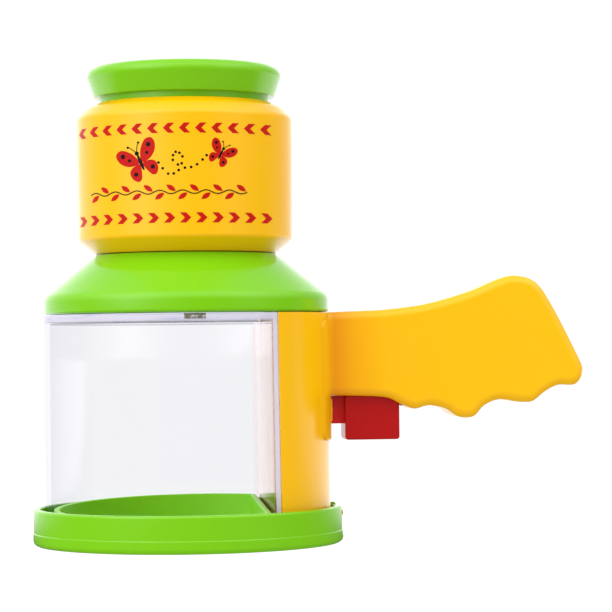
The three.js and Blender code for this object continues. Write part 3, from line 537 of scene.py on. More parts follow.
def lathe(profile, closed=True, segments=192):
    verts, rings = [], []
    for radius, z in profile:
        steps = segments if radius > drawnMerge else 1
        rings.append(range(len(verts), len(verts) + steps))
        verts += [(*onCircle(radius, 2 * math.pi * k / segments), z) for k in range(steps)]
    faces = []
    for lower, upper in zip(rings, rings[1:] + rings[:1] * closed):
        for k in range(segments):
            n = (k + 1) % segments
            pairs = (lower, k), (lower, n), (upper, n), (upper, k)
            corners = [ring[step % len(ring)] for ring, step in pairs]
            face = tuple(dict.fromkeys(corners))
            if len(face) > 2:
                faces.append(face)
    return tidyMesh(newObject("lathe", verts, faces), drawnMerge)


def turned(points, roundings, closed=True, steps=6, segments=256):
    # A body turned on the barrel's axis, by its profile's corners and the rounding of each
    corners = [(*point, rounding) for point, rounding in zip(points, roundings, strict=True)]
    return lathe(roundPath(corners, closed, steps), closed, segments)


def block(low, high):
    return prism(rectangle(low[0], low[1], high[0], high[1]), low[2], high[2], upright)


def bar(place, u, v, radius, low, high, steps=48):
    return prism(circle(u, v, radius, steps), low, high, place)


def core(radius):
    # A long upright bar on the barrel's axis
    return bar(upright, 0, 0, radius, 0, beyond, 256)


def bake(shape):
    # The modifiers' result becomes the mesh
    bpy.context.view_layer.update()
    result = bpy.data.meshes.new_from_object(shape.evaluated_get(bpy.context.evaluated_depsgraph_get()))
    shape.modifiers.clear()
    shape.data = result


def combine(shape, *others, operation="UNION"):
    for other in others:
        step = shape.modifiers.new("combine", "BOOLEAN")
        step.operation = operation
        step.solver = "EXACT"
        step.object = other
        bake(shape)
        bpy.data.objects.remove(other)
    return shape


def cut(shape, *others):
    return combine(shape, *others, operation="DIFFERENCE")


def keepInside(shape, *others):
    return combine(shape, *others, operation="INTERSECT")


def soften(shape, width, segments, angle):
    # Edges that turn by more than the angle, in degrees, are rounded
    edges = shape.modifiers.new("edges", "BEVEL")
    edges.width = width
    edges.segments = segments
    edges.limit_method = "ANGLE"
    edges.angle_limit = math.radians(angle)
    edges.harden_normals = False
    bake(shape)


def finishPiece(shape, name, material, body, nodes=(), sharp=32.0, bevel=0.0):
    tidyMesh(shape, finishedMerge)
    shape.name = name
    shape.data.name = name
    if bevel > 0:
        soften(shape, bevel, segments=2, angle=40)
    shape.data.transform(Matrix.Scale(mm, 4))
    shape.data.shade_smooth()
    shape.data.set_sharp_from_angle(angle=math.radians(sharp))
    even = shape.modifiers.new("even shading", "WEIGHTED_NORMAL")
    even.keep_sharp = True
    even.weight = 60
    bake(shape)
    shape.data.materials.clear()
    shape.data.materials.append(material)
    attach(shape, body)
    if nodes:
        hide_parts(*nodes)
    print("piece ready:", name, len(shape.data.polygons))


def giveLooks(shape, looks, lookAt):
    # Some faces look different, by the place of their middle in mm
    for look in looks:
        shape.data.materials.append(look)
    for face in shape.data.polygons:
        look = lookAt(*(face.center / mm))
        if look:
            face.material_index = 1 + looks.index(look)


# Clear chamber: a D-shaped cup whose flat wall leans a little for the mould
chamber = {
    "radius": 45.4, "wall": 1.8, "chordX": 26.4, "low": 2.5, "high": 73.0, "roof": 2.6, "holeRadius": 23.6,
    "corner": 1.2, "innerCorner": 0.8, "edge": 0.3, "bend": 0.5, "rimSeen": 2.3,
    "lean": 0.35, "leanFromX": 20.0, "leanOverX": 6.0, "standingEdgeY": -34.0, "bendSeen": 0.9,
    "gateAngle": -89.6, "gateHalf": 4.2, "gateProud": 0.12, "gateSeen": 0.4, "gateRoot": 0.4,
    "gateLow": 71.1, "gateHigh": 72.8, "gateSteps": 8,
}
# How far inside its surface's place a face's middle may lie and still count as on it
inset = {"face": 0.1, "rim": 0.2, "leaning": 0.4}


def leanChord(shape):
    # The flat wall stands further out at the foot than at the roof
    c = SimpleNamespace(**chamber)
    middle = (c.low + c.high) / 2
    for vertex in shape.data.vertices:
        share = min(max((vertex.co.x - c.leanFromX) / c.leanOverX, 0.0), 1.0)
        vertex.co.x += share * c.lean * (middle - vertex.co.z) / (middle - c.low)


def buildChamber():
    c = SimpleNamespace(**chamber)
    cup = prism(dOutline(c.radius, c.chordX, c.corner), c.low, c.high, upright, (c.edge, c.edge))
    inRadius, inX, roofLow = c.radius - c.wall, c.chordX - c.wall, c.high - c.roof
    cut(cup, prism(dOutline(inRadius, inX, c.innerCorner), c.low - past, roofLow, upright, (0.0, c.bend)))
    low, high = roofLow - past, c.high + past
    cut(cup, lathe([(0, low), (c.holeRadius, low), (c.holeRadius, high), (0, high)], closed=False))
    start, end = (math.radians(c.gateAngle + side * c.gateHalf) for side in (-1, 1))
    stub = arcPoints(c.radius + c.gateProud, start, end, c.gateSteps)
    stub += arcPoints(c.radius - c.gateRoot, end, start, c.gateSteps)
    combine(cup, prism(stub, c.gateLow, c.gateHigh, upright))
    rimLow = c.high - c.rimSeen
    with editing(cup) as work:
        splitAt(work, (0, 0, rimLow), (0, 0, 1))
    leanChord(cup)
    finishPiece(cup, "clear_chamber", windowStyrene, "housing", ["chamber_window"])

    def lookAt(x, y, z):
        # The flat wall's standing edges and the roof's rim are thick to look through; the tight bend under
        # the roof gets painted shade
        reach = math.hypot(x, y)
        if reach > c.radius + c.gateSeen * c.gateProud and z > c.gateLow - inset["face"]:
            return tornGate
        if x > inX - inset["face"] and y < c.standingEdgeY:
            return thickEdge
        # Painted reflection of the column on the flat wall
        if x > inX - inset["leaning"] and z < rimLow:
            return flatReflectStyrene
        if reach > c.radius - inset["rim"] and z > rimLow:
            return thickRim
        # Painted shade along the bend just under the roof
        if z > rimLow - c.bendSeen and reach > inRadius - c.bend - inset["face"]:
            return bendShadeStyrene

    giveLooks(cup, (thickEdge, bendShadeStyrene, tornGate, flatReflectStyrene, thickRim), lookAt)


buildChamber()

# The push rod's two arms, the tray's horn and the trigger's, lie in one plane and end in a pin
armForm = {"lowY": -1.8, "highY": 0.7, "pinY": 3.7, "pinRoot": 0.6}


def arm(start, end, width, boss, pin):
    a = SimpleNamespace(**armForm)
    x, z = end
    start, end = Vector(start), Vector(end)
    across = (end - start).orthogonal().normalized() * width / 2
    outline = [start + across, end + across, end - across, start - across]
    return (
        prism(outline, a.lowY, a.highY, sideways), bar(sideways, x, z, boss, a.lowY, a.highY),
        bar(sideways, x, z, pin, a.highY - a.pinRoot, a.pinY),
    )


# Tray: rim with a thicker band at its foot, sloping ring inside, hinge knuckle and horn
tray = {
    "rimInner": 47.2, "rimRadius": 49.2, "bandProud": 0.18, "bandHigh": 3.9, "bandSlope": 0.25, "high": 11.7,
    "floor": 2.2, "roundings": (0, 1.7, 0.12, 0.12, 0.85, 0.6, 0.6, 0), "root": 0.6,
    "ringRadius": 42.8, "ringX": 24.2, "ringWall": 1.8, "ringCorner": 2.2, "ringInnerCorner": 1.0,
    "ringHigh": 11.8, "ringRiseX": 0.012, "ringRiseY": 0.033, "ringLip": 0.35,
    "notchHalf": 9.3, "notchCorner": 1.0, "webHalf": 1.36,
}
hinge = {"x": 47.2, "z": 9.4, "bore": 1.05, "knuckle": 1.7, "half": 5.1}
horn = {"end": (43.563, 11.5), "width": 2.6, "boss": 1.5, "pin": 0.9}


def buildTray():
    t, h = SimpleNamespace(**tray), SimpleNamespace(**hinge)
    band = t.rimRadius + t.bandProud
    dish = turned([
        (0, 0), (band, 0), (band, t.bandHigh), (t.rimRadius, t.bandHigh + t.bandSlope), (t.rimRadius, t.high),
        (t.rimInner, t.high), (t.rimInner, t.floor), (0, t.floor),
    ], t.roundings, closed=False)
    notch = rectangle(-t.notchHalf, t.floor, t.notchHalf, t.high + 2 * past, t.notchCorner)
    cut(dish, prism(notch, t.rimInner - past, band + past, endways))
    foot = t.floor - t.root
    ring = prism(dOutline(t.ringRadius, t.ringX, t.ringCorner), foot, t.ringHigh + past, upright)
    hollow = dOutline(t.ringRadius - t.ringWall, t.ringX - t.ringWall, t.ringInnerCorner)
    cut(ring, prism(hollow, foot - past, t.ringHigh + 2 * past, upright))
    # The ring's top slopes down towards the front
    reach = t.ringRadius + past
    above = block((-reach, -reach, 0), (reach, reach, t.ringHigh + 2 * past))
    for vertex in above.data.vertices:
        if vertex.co.z < t.ringHigh:
            vertex.co.z = t.ringHigh + t.ringRiseX * vertex.co.x + t.ringRiseY * vertex.co.y
    cut(ring, above)
    soften(ring, t.ringLip, segments=3, angle=50)
    knuckle = bar(sideways, h.x, h.z, h.knuckle, -h.half, h.half)
    web = block((h.x - t.webHalf, -h.half, foot), (h.x + t.webHalf, h.half, h.z))
    combine(dish, ring, knuckle, web, *arm((h.x, h.z), horn["end"], horn["width"], horn["boss"], horn["pin"]))
    cut(dish, bar(sideways, h.x, h.z, h.bore, -h.half - past, h.half + past))
    finishPiece(dish, "green_tray", greenAbs, "door", ["door_tray"])

    def lookAt(x, y, z):
        # Painted light: a brighter green on the ring's thin wall stands in for the backlight shining through
        # it
        inRing = x < t.ringX + inset["face"] and math.hypot(x, y) < t.ringRadius + inset["face"]
        return paintedBacklitGreenAbs if inRing and z > t.floor + inset["face"] / 2 else None

    giveLooks(dish, (paintedBacklitGreenAbs,), lookAt)


buildTray()

# Shoulder cone, turned
shoulder = {
    "radius": 45.5, "foot": 73.3, "bendZ": 78.6, "topRadius": 28.9, "topZ": 92.0, "wall": 2.0,
    "holeRadius": 25.0, "roundings": (0.8, 3.4, 0.5, 0.3, 0.3, 1.0, 1.5, 0.3), "thicker": 1.0,
}


def buildShoulder():
    s = SimpleNamespace(**shoulder)
    inner, under = s.radius - s.wall, s.topZ - s.wall
    cone = turned([
        (s.radius, s.foot), (s.radius, s.bendZ), (s.topRadius, s.topZ), (s.holeRadius, s.topZ),
        (s.holeRadius, under), (s.topRadius - s.thicker, under), (inner, s.bendZ - s.wall), (inner, s.foot),
    ], s.roundings)
    finishPiece(cone, "green_shoulder", coneAbs, "housing", ["shoulder_cone"])


buildShoulder()

# Barrel, turned
barrel = {
    "low": 92.3, "lowRadius": 28.8, "chamferZ": 96.7, "radius": 34.4, "draft": 0.3, "crownZ": 135.3,
    "crown": (31.2, 138.55), "underCrown": (30.0, 136.5), "topZ": 140.2, "topRadius": 27.9, "wall": 2.0,
    "floor": 94.4, "guide": 27.3, "guideOuter": 28.7, "guideLow": 130.6, "guideRoot": 2.8,
    "spigot": 24.7, "spigotWall": 0.9, "spigotLow": 90.1,
    "seat": 26.2, "seatOuter": 27.6, "seatHigh": 99.5, "seatFoot": 1.0,
    "roundings": (
        0.5, 1.6, 2.2, 5.0, 0.25, 0.12, 0.2, 0.2, 0.4, 1.0, 1.0, 1.0, 0.3, 0,
        0.2, 0.2, 0.1, 0.2, 0.2, 0.2, 0.1,
    ),
}


def buildBarrel():
    b = SimpleNamespace(**barrel)
    inner, bore = b.radius - b.wall, b.spigot - b.spigotWall
    shell = turned([
        (b.lowRadius, b.low), (b.radius - b.draft, b.chamferZ), (b.radius, b.crownZ), b.crown,
        (b.topRadius, b.topZ), (b.guide, b.topZ), (b.guide, b.guideLow), (b.guideOuter, b.guideLow),
        (b.guideOuter, b.topZ - b.guideRoot), b.underCrown, (inner, b.crownZ), (inner, b.chamferZ + b.wall),
        (b.seatOuter + b.seatFoot, b.floor), (b.seatOuter, b.floor), (b.seatOuter, b.seatHigh),
        (b.seat, b.seatHigh), (b.seat, b.floor), (bore, b.floor), (bore, b.spigotLow),
        (b.spigot, b.spigotLow), (b.spigot, b.low),
    ], b.roundings)
    finishPiece(shell, "yellow_barrel", barrelAbs, "housing", ["viewer_barrel"])


buildBarrel()

# Eyepiece, turned: neck with a stop bead, flared flange and a ledge for the upper lens
eyepiece = {
    "neck": 27.0, "low": 118.5, "bead": 28.9, "beadHigh": 120.0, "beadSlope": 0.475, "bore": 25.2,
    "flangeZ": 142.2, "flangeLow": 28.8, "flange": 31.4, "flareZ": 149.6, "topZ": 151.9, "topIn": 2.4,
    "ledge": 23.6, "ledgeZ": 142.5, "ledgeThick": 1.5,
    "roundings": (0.3, 0.3, 0.2, 0.25, 0.5, 2.4, 3.8, 0.9, 0.1, 0.15, 0.15, 0.1, 0.3),
}


def buildEyepiece():
    e = SimpleNamespace(**eyepiece)
    ledgeLow = e.ledgeZ - e.ledgeThick
    body = turned([
        (e.bead, e.low), (e.bead, e.beadHigh), (e.neck, e.beadHigh + e.beadSlope), (e.neck, e.flangeZ),
        (e.flangeLow, e.flangeZ), (e.flange, e.flareZ), (e.flange - e.topIn, e.topZ), (e.bore, e.topZ),
        (e.bore, e.ledgeZ), (e.ledge, e.ledgeZ), (e.ledge, ledgeLow), (e.bore, ledgeLow), (e.bore, e.low),
    ], e.roundings)
    finishPiece(body, "green_eyepiece", greenAbs, "eyepiece_slider", ["eyepiece"])


buildEyepiece()

# Lenses and the rings that hold them
lenses = {
    "chamber": {"radius": 25.9, "seat": 94.4, "body": "housing", "ring": acetal, "slot": "white_plastic"},
    "eyepiece": {
        "radius": 24.9, "seat": 142.5, "body": "eyepiece_slider", "ring": greenAbs, "slot": "green_plastic",
    },
}
lensForm = {
    "gap": 0.3, "edge": 1.6, "bulge": 1.9, "steps": 20, "sharp": 50.0,
    "ringGap": 0.35, "ringHigh": 1.9, "ringWide": 1.6, "roundings": (0.2, 0.3, 0.3, 0.2),
}


def buildLens(name, radius, seat, body, ring, slot):
    f = SimpleNamespace(**lensForm)
    low = seat + f.gap
    high = low + f.edge
    sphere = (radius ** 2 + f.bulge ** 2) / (2 * f.bulge)
    shares = [k / f.steps for k in range(f.steps + 1)]
    domes = [math.sqrt(sphere ** 2 - (radius * share) ** 2) - (sphere - f.bulge) for share in shares]
    profile = [(radius * share, low - dome) for share, dome in zip(shares, domes)]
    profile += [(radius * share, high + dome) for share, dome in zip(shares[::-1], domes[::-1])]
    disc = lathe(profile, closed=False, segments=128)
    node = name + "_lens"
    finishPiece(disc, node + "_glass", lensStyrene, body, [node], sharp=f.sharp)
    foot, inner = high + f.ringGap, radius - f.ringWide
    corners = [(radius, foot), (radius, foot + f.ringHigh), (inner, foot + f.ringHigh), (inner, foot)]
    holder = turned(corners, f.roundings, steps=3, segments=192)
    finishPiece(holder, node + "_holder", ring, body, [node + "_ring"])


for lensName, lens in lenses.items():
    buildLens(lensName, **lens)

# Column behind the flat wall: recess for the handle's saddle, guides for the rod, hinge lugs
column = {
    "edgeX": 26.7, "radius": 45.4, "wall": 1.8, "low": 2.5, "high": 73.0, "root": 0.3, "steps": 96,
    "bridge": 42.4, "bridgeHalf": 20.0, "bridgeUnder": 1.8, "bridgeIn": 0.05, "bridgeShort": 0.01,
    "recess": 44.2, "saddleHalf": 18.2, "saddleLow": 32.6, "saddleHigh": 70.7, "corner": 3.0, "gap": 0.06,
    "doorHalf": 7.9, "doorLow": 36.6, "doorHigh": 50.8, "hingeRoomHigh": 14.5,
    "shelfTops": (21.4, 36.6), "shelfThick": 1.3, "shelfX": 31.54, "shelfY": (-2.15, 6.55),
    "guideX": (32.94, 37.53), "guideY": (0.7, 3.7), "lug": 1.6, "lugY": (5.4, 8.4), "screwBoreX": 37.0,
    "leanToX": 33.0, "leanOverX": 4.0, "leanFromY": 25.0, "leanMiddleZ": 37.45, "leanHalfZ": 35.0,
    "bevel": 0.05,
}
pivot = {
    "x": 42.5, "z": 42.0, "bore": 1.3, "hub": 3.3, "hubHalf": 3.9, "ear": 3.4, "earLow": 4.2, "earHigh": 7.6,
}
saddleScrews = {
    "y": 6.8, "z": 60.0, "bore": 1.4, "boreX": (39.0, 51.6), "boss": 2.6, "bossX": (43.9, 52.6),
}


def saddleOutline(grow):
    c = SimpleNamespace(**column)
    half, low, high = c.saddleHalf + grow, c.saddleLow - grow, c.saddleHigh + grow
    return rectangle(-half, low, half, high, c.corner + grow)


def buildColumn():
    c, h, s = SimpleNamespace(**column), SimpleNamespace(**hinge), SimpleNamespace(**saddleScrews)
    inner, outerX = c.radius - c.wall, c.radius + past
    wall, bridge, recess = (
        prism(archOutline(inRadius, outRadius, c.edgeX, c.steps), c.low, c.high, upright)
        for inRadius, outRadius in ((inner, c.radius), (c.bridge, c.radius - c.bridgeIn), (c.recess, outerX))
    )
    bridgeLow, bridgeHigh = c.saddleLow - c.bridgeUnder, c.high - c.bridgeShort
    keepInside(bridge, block((0, -c.bridgeHalf, bridgeLow), (outerX, c.bridgeHalf, bridgeHigh)))
    combine(wall, bridge)
    keepInside(recess, prism(saddleOutline(c.gap), 0, outerX, endways))
    cut(wall, recess)
    cut(wall, block((c.bridge - past, -c.doorHalf, c.doorLow), (outerX, c.doorHalf, c.doorHigh)))
    cut(wall, block((inner - past, -h.half, -past), (outerX, h.half, c.hingeRoomHigh)))
    for top in c.shelfTops:
        shelf = block((c.shelfX, c.shelfY[0], top - c.shelfThick), (inner + c.root, c.shelfY[1], top))
        low, high = zip(c.guideX, c.guideY, (top - past, top + past))
        cut(shelf, block(low, high))
        combine(wall, shelf)
    for side in (-1, 1):
        low, high = sorted(side * y for y in c.lugY)
        lug = block((inner + c.root, low, h.z - c.lug), (h.x, high, h.z + c.lug))
        combine(lug, bar(sideways, h.x, h.z, c.lug, low, high))
        combine(wall, lug)
        cut(wall, bar(endways, side * s.y, s.z, s.bore, c.screwBoreX, outerX))
    boreHalf = max(c.lugY) + past
    cut(wall, bar(sideways, h.x, h.z, h.bore, -boreHalf, boreHalf))
    # The wall's standing edges lean with the chamber's flat wall
    for vertex in wall.data.vertices:
        share = min(max((c.leanToX - vertex.co.x) / c.leanOverX, 0.0), 1.0) * (abs(vertex.co.y) > c.leanFromY)
        vertex.co.x += share * chamber["lean"] * (c.leanMiddleZ - vertex.co.z) / c.leanHalfZ
    nodes = ["column_housing"]
    finishPiece(wall, "yellow_column", yellowAbs, "housing", nodes, bevel=c.bevel)


buildColumn()

# Handle: two halves, pillow-edged, with a saddle that lies in the column
handle = {
    "root": 45.5, "rootGap": 0.04, "inX": 36.0, "length": 81.05, "low": 38.9, "height": 45.0, "half": 11.0,
    "edge": 2.8, "edgeSteps": 6, "wall": 2.0, "seam": 0.15, "shellPast": 3.0, "topRoot": (0, 0.762),
    "saddleInner": 44.5, "saddleOuter": 46.1, "saddleSteps": 128, "chordX": 26.4, "earIn": 0.3, "bevel": 0.15,
    "curveSteps": 8,
    "hubRoom": ((39.0, -4.2, 36.9), (46.7, 4.2, 51.5)), "stemRoom": ((46.1, -7.0, 19.8), (69.9, 7.0, 50.3)),
    "outline": [
        (0.196, 0.773), (0.369, 0.81), (0.543, 0.895), (0.673, 0.989), (0.744, 1.008), (0.819, 0.958),
        (0.88, 0.8), (0.967, 0.492), (1.002, 0.334), (0.973, 0.231), (0.903, 0.224), (0.851, 0.18),
        (0.798, 0.111), (0.738, 0.109), (0.667, 0.127), (0.607, 0.087), (0.562, 0.009), (0.502, 0.009),
        (0.45, 0.067), (0.386, 0.091), (0.326, 0.069), (0.27, 0.109), (0.201, 0.156), (0, 0.171),
    ],
    "screws": [(0.105, 0.591), (0.425, 0.447), (0.709, 0.736), (0.869, 0.402)],
    "boss": 4.4, "bossRoot": 0.6, "bore": 1.4, "boreSkin": 0.3, "screwSeat": 3.0, "screwSeatDeep": 2.6,
}


def onHandle(share):
    # Shares of the handle's length and height
    return Vector((handle["root"] + share[0] * handle["length"], handle["low"] + share[1] * handle["height"]))


def handleOutline(inward):
    line = smoothLine([onHandle(share) for share in handle["outline"]], handle["curveSteps"])
    moved = []
    for i, point in enumerate(line):
        along = alongAt(line, i)
        moved.append(point + Vector((along.y, -along.x)) * inward)
    first = onHandle(handle["topRoot"]) - Vector((0, inward))
    return [Vector((handle["inX"], first.y)), first] + moved + [Vector((handle["inX"], moved[-1].y))]


def buildHandle(side, word):
    h, p, s = SimpleNamespace(**handle), SimpleNamespace(**pivot), SimpleNamespace(**saddleScrews)
    inner, seam = h.half - h.wall, side * h.seam
    low, high = sorted((seam, side * h.half))
    softened = (0.0, h.edge) if side > 0 else (h.edge, 0.0)
    shell = prism(handleOutline(0), low, high, sideways, softened, h.edgeSteps)
    low, high = sorted((-side * h.shellPast, side * inner))
    hollow = cut(prism(handleOutline(h.wall), low, high, sideways), core(h.saddleOuter))
    cut(shell, core(h.root - h.rootGap), hollow)
    flange = archOutline(h.saddleInner, h.saddleOuter, h.chordX, h.saddleSteps)
    flange = prism(flange, column["low"], column["high"], upright)
    keepInside(flange, prism(saddleOutline(0), 0, beyond, endways))
    low, high = sorted((seam, side * beyond))
    combine(shell, keepInside(flange, block((0, low, 0), (beyond, high, beyond))))
    low, high = sorted((side * p.earLow, side * p.earHigh))
    ear = bar(sideways, p.x, p.z, p.ear, low, high)
    combine(ear, block((p.x, low, p.z - p.ear), (h.saddleOuter - h.earIn, high, p.z + p.ear)))
    screwBoss = bar(endways, side * s.y, s.z, s.boss, *s.bossX)
    combine(shell, ear, cut(screwBoss, core(h.saddleInner)))
    places = [onHandle(share) for share in h.screws]
    for place in places:
        low, high = sorted((seam, side * (inner + h.bossRoot)))
        combine(shell, bar(sideways, place.x, place.y, h.boss, low, high))
    cut(shell, block(*h.hubRoom), block(*h.stemRoom))
    cut(shell, bar(sideways, p.x, p.z, p.bore, -p.earHigh, p.earHigh))
    cut(shell, bar(endways, side * s.y, s.z, s.bore, *s.boreX))
    # The screws come in from the far side and end blind in the near half
    low, outside = -past if side > 0 else h.boreSkin - inner, h.half + past
    for place in places:
        cut(shell, bar(sideways, place.x, place.y, h.bore, low, outside))
        if side > 0:
            cut(shell, bar(sideways, place.x, place.y, h.screwSeat, h.half - h.screwSeatDeep, outside))
    node = "handle_shell_" + word
    finishPiece(shell, "yellow_handle_" + word, handleAbs, "housing", [node], bevel=h.bevel)


buildHandle(-1, "near")
buildHandle(1, "far")

# Trigger: finger block on a narrow stem, hub and inner arm
trigger = {
    "left": 50.0, "right": 67.5, "low": 32.3, "high": 50.0, "half": 6.7, "slopeX": 6.5, "edge": 0.6,
    "roundings": (1.0, 1.0, 1.0, 0.6, 0.6), "root": 0.6, "bevel": 0.2,
    "stemLow": 37.5, "stemHigh": 46.3, "stemHalf": 3.5, "stemSeen": 0.2,
    "armEnd": (33.235, 44.1), "armWide": 3.0, "boss": 1.9, "pin": 1.0,
}


def buildTrigger():
    t, p = SimpleNamespace(**trigger), SimpleNamespace(**pivot)
    corners = [
        (t.left, t.low), (t.right, t.low), (t.right, t.high), (t.left + t.slopeX, t.high),
        (t.left, t.stemHigh),
    ]
    outline = roundPath([(*corner, rounding) for corner, rounding in zip(corners, t.roundings)])
    finger = prism(outline, -t.half, t.half, sideways, (t.edge, t.edge))
    stem = block((p.x, -t.stemHalf, t.stemLow), (t.left + t.root, t.stemHalf, t.stemHigh))
    hub = bar(sideways, p.x, p.z, p.hub, -p.hubHalf, p.hubHalf)
    combine(finger, stem, hub, *arm((p.x, p.z), t.armEnd, t.armWide, t.boss, t.pin))
    cut(finger, bar(sideways, p.x, p.z, p.bore, -p.hubHalf - past, p.hubHalf + past))
    finishPiece(finger, "red_trigger", redAbs, "trigger_lever", ["trigger"], bevel=t.bevel)
    # Painted light: a brighter red on the narrow stem, which lies in the shade under the handle
    giveLooks(finger, (paintedLitRedAbs,), lambda x, y, z: paintedLitRedAbs if p.x < x < t.left - t.stemSeen else None)


buildTrigger()


# Geometry Nodes: trees with named inputs, whose result is taken off as a plain mesh
def newTree(name, inputs):
    tree = bpy.data.node_groups.new(name, "GeometryNodeTree")
    tree.interface.new_socket("Geometry", in_out="OUTPUT", socket_type="NodeSocketGeometry")
    tree.interface.new_socket("Geometry", in_out="INPUT", socket_type="NodeSocketGeometry")
    for label, kind in inputs.items():
        tree.interface.new_socket(label, in_out="INPUT", socket_type="NodeSocket" + kind)
    return tree, addNode(tree, "NodeGroupInput").outputs


def endTree(tree, instances, finish):
    plain = addNode(tree, "GeometryNodeRealizeInstances", {"Geometry": instances})
    finished = addNode(tree, "GeometryNodeSetMaterial", {"Geometry": plain, "Material": finish})
    addNode(tree, "NodeGroupOutput", {0: finished})
    return tree


def growNodes(tree, values, points=()):
    shape = newObject(tree.name, [tuple(point) for point in points], [])
    grown = shape.modifiers.new("grown", "NODES")
    grown.node_group = tree
    for item in tree.interface.items_tree:
        if item.in_out == "INPUT" and item.name in values:
            grown[item.identifier] = values[item.name]
    bake(shape)
    return shape


# Screws: pan heads with a straight slot, each turned its own way by the screwdriver
screw = {
    "Head radius": 2.6, "Head height": 1.8, "Shank radius": 1.0, "Reach": 8.0,
    "Slot width": 0.7, "Slot depth": 0.8,
}
screwBevel = 0.1
# Lengths inside the screw, as shares of the named ones
screwShares = {
    "rim depth": ("Head height", 0.6), "rim middle": ("Head height", 0.3), "crown top": ("Head radius", 0.78),
    "crown depth": ("Head height", 0.41), "crown foot": ("Head height", 0.59),
    "shank middle": ("Reach", -0.499),
    "slot length": ("Head radius", 3.0), "slot height": ("Slot depth", 2.0),
}
# The screws' names, how many, the turn of their axis, and the seed for how far the driver turned them
screwSets = (
    ("handle_screw", 4, (-math.pi / 2, 0.0, 0.0), 3), ("saddle_screw", 2, (0.0, -math.pi / 2, 0.0), 5),
)


def screwTree():
    tree, given = newTree("pan head screws", {
        "Head radius": "Float", "Head height": "Float", "Shank radius": "Float", "Reach": "Float",
        "Slot width": "Float", "Slot depth": "Float", "Turn": "Vector", "Seed": "Int", "Finish": "Material",
    })
    sizes = {
        name: addNode(tree, "ShaderNodeMath", {"operation": "MULTIPLY", 0: given[source], 1: share})
        for name, (source, share) in screwShares.items()
    }

    def raised(geometry, height):
        up = addNode(tree, "ShaderNodeCombineXYZ", {"Z": height})
        return addNode(tree, "GeometryNodeTransform", {"Geometry": geometry, "Translation": up})

    rim = addNode(tree, "GeometryNodeMeshCylinder", {
        "Vertices": 40, "Radius": given["Head radius"], "Depth": sizes["rim depth"],
    })
    crown = addNode(tree, "GeometryNodeMeshCone", {
        "Vertices": 40, "Radius Top": sizes["crown top"], "Radius Bottom": given["Head radius"],
        "Depth": sizes["crown depth"],
    })
    shank = addNode(tree, "GeometryNodeMeshCylinder", {
        "Vertices": 24, "Radius": given["Shank radius"], "Depth": given["Reach"],
    })
    raisedParts = [
        raised(rim, sizes["rim middle"]), raised(crown, sizes["crown foot"]),
        raised(shank, sizes["shank middle"]),
    ]
    solid = addNode(tree, "GeometryNodeMeshBoolean", {"operation": "UNION", "Mesh 2": raisedParts})
    slotSize = addNode(tree, "ShaderNodeCombineXYZ", {
        "X": sizes["slot length"], "Y": given["Slot width"], "Z": sizes["slot height"],
    })
    slot = addNode(tree, "GeometryNodeMeshCube", {"Size": slotSize})
    slotted = addNode(tree, "GeometryNodeMeshBoolean", {
        "operation": "DIFFERENCE", "Mesh 1": solid, "Mesh 2": raised(slot, given["Head height"]),
    })
    placed = addNode(tree, "GeometryNodeInstanceOnPoints", {
        "Points": given["Geometry"], "Instance": slotted, "Rotation": given["Turn"],
    })
    chance = addNode(tree, "FunctionNodeRandomValue", {"data_type": "FLOAT", "Seed": given["Seed"]})
    halfTurns = addNode(tree, "ShaderNodeMath", {
        "operation": "MULTIPLY", 0: chance.outputs["Value"], 1: math.pi,
    })
    angle = addNode(tree, "ShaderNodeCombineXYZ", {"Z": halfTurns})
    spun = addNode(tree, "GeometryNodeRotateInstances", {"Instances": placed, "Rotation": angle})
    return endTree(tree, spun, given["Finish"])


def buildScrews():
    tree = screwTree()
    head = screw["Head height"]
    for name, count, turnedTo, seed in screwSets:
        nodes = [name + "_" + str(k + 1) for k in range(count)]
        seats = []
        for node in nodes:
            low, high = (Vector(corner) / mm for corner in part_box(node))
            middle = (low + high) / 2
            if name == "handle_screw":
                seats.append((middle.x, high.y - head, middle.z))
            else:
                seats.append((low.x + head, middle.y, middle.z))
        shape = growNodes(tree, dict(screw, Turn=turnedTo, Seed=seed, Finish=steel), seats)
        finishPiece(shape, name + "s", steel, "housing", nodes, bevel=screwBevel)


buildScrews()

# Pad print on the barrel: two rows of chevrons, two butterflies with a dotted flight path, and a leafy vine.
# It is drawn flat, facing the camera, and pressed onto the barrel from the front.
printing = {
    "turn": -5.5, "lift": 0.05, "film": 0.09, "slice": 0.8, "crowdFrom": -15.0, "crowd": 0.0046,
    "count": 13, "spacing": 4.95, "right": 26.4, "rows": (129.9, 102.3),
    "stroke": 1.95, "height": 3.1, "slope": 1.0,
    "vineLeft": -29.5, "vineRight": 20.5, "vineZ": 110.2, "vineWave": 0.55, "vineWaves": 7, "vineThick": 0.3,
    "leafLength": 3.4, "leafWidth": 1.5, "leafLift": 1.25, "leafTilt": 0.6, "stemSteps": 12,
    "dot": 0.42, "flightFrom": 0.42, "flightTo": 0.5, "flightHigh": 7.0, "curveSteps": 6, "sharp": 60.0,
}
butterflies = [
    {"x": -12.0, "z": 119.3, "span": 13.0, "tilt": 24.0}, {"x": 12.5, "z": 121.6, "span": 8.4, "tilt": -28.0},
]
wingShares = [
    [(0.03, 0.08), (0.12, 0.3), (0.3, 0.47), (0.46, 0.46), (0.5, 0.32), (0.42, 0.14), (0.25, 0.02),
     (0.05, 0)],
    [(0.04, -0.02), (0.22, -0.02), (0.33, -0.1), (0.34, -0.25), (0.25, -0.38), (0.14, -0.36), (0.06, -0.18)],
]
spotShares = [(0.34, 0.33, 0.055), (0.23, 0.17, 0.038), (0.22, -0.20, 0.05)]
headShare = (0, 0.25, 0.05)
bodyShares = {"half": (0.036, 0.21), "middle": (0.0, 0.02), "steps": 24}
feelerShares = {
    "root": (0.01, 0.28), "reach": (0.13, 0.2), "bend": 1.3, "steps": 6, "thick": 0.016, "knob": 0.028,
}
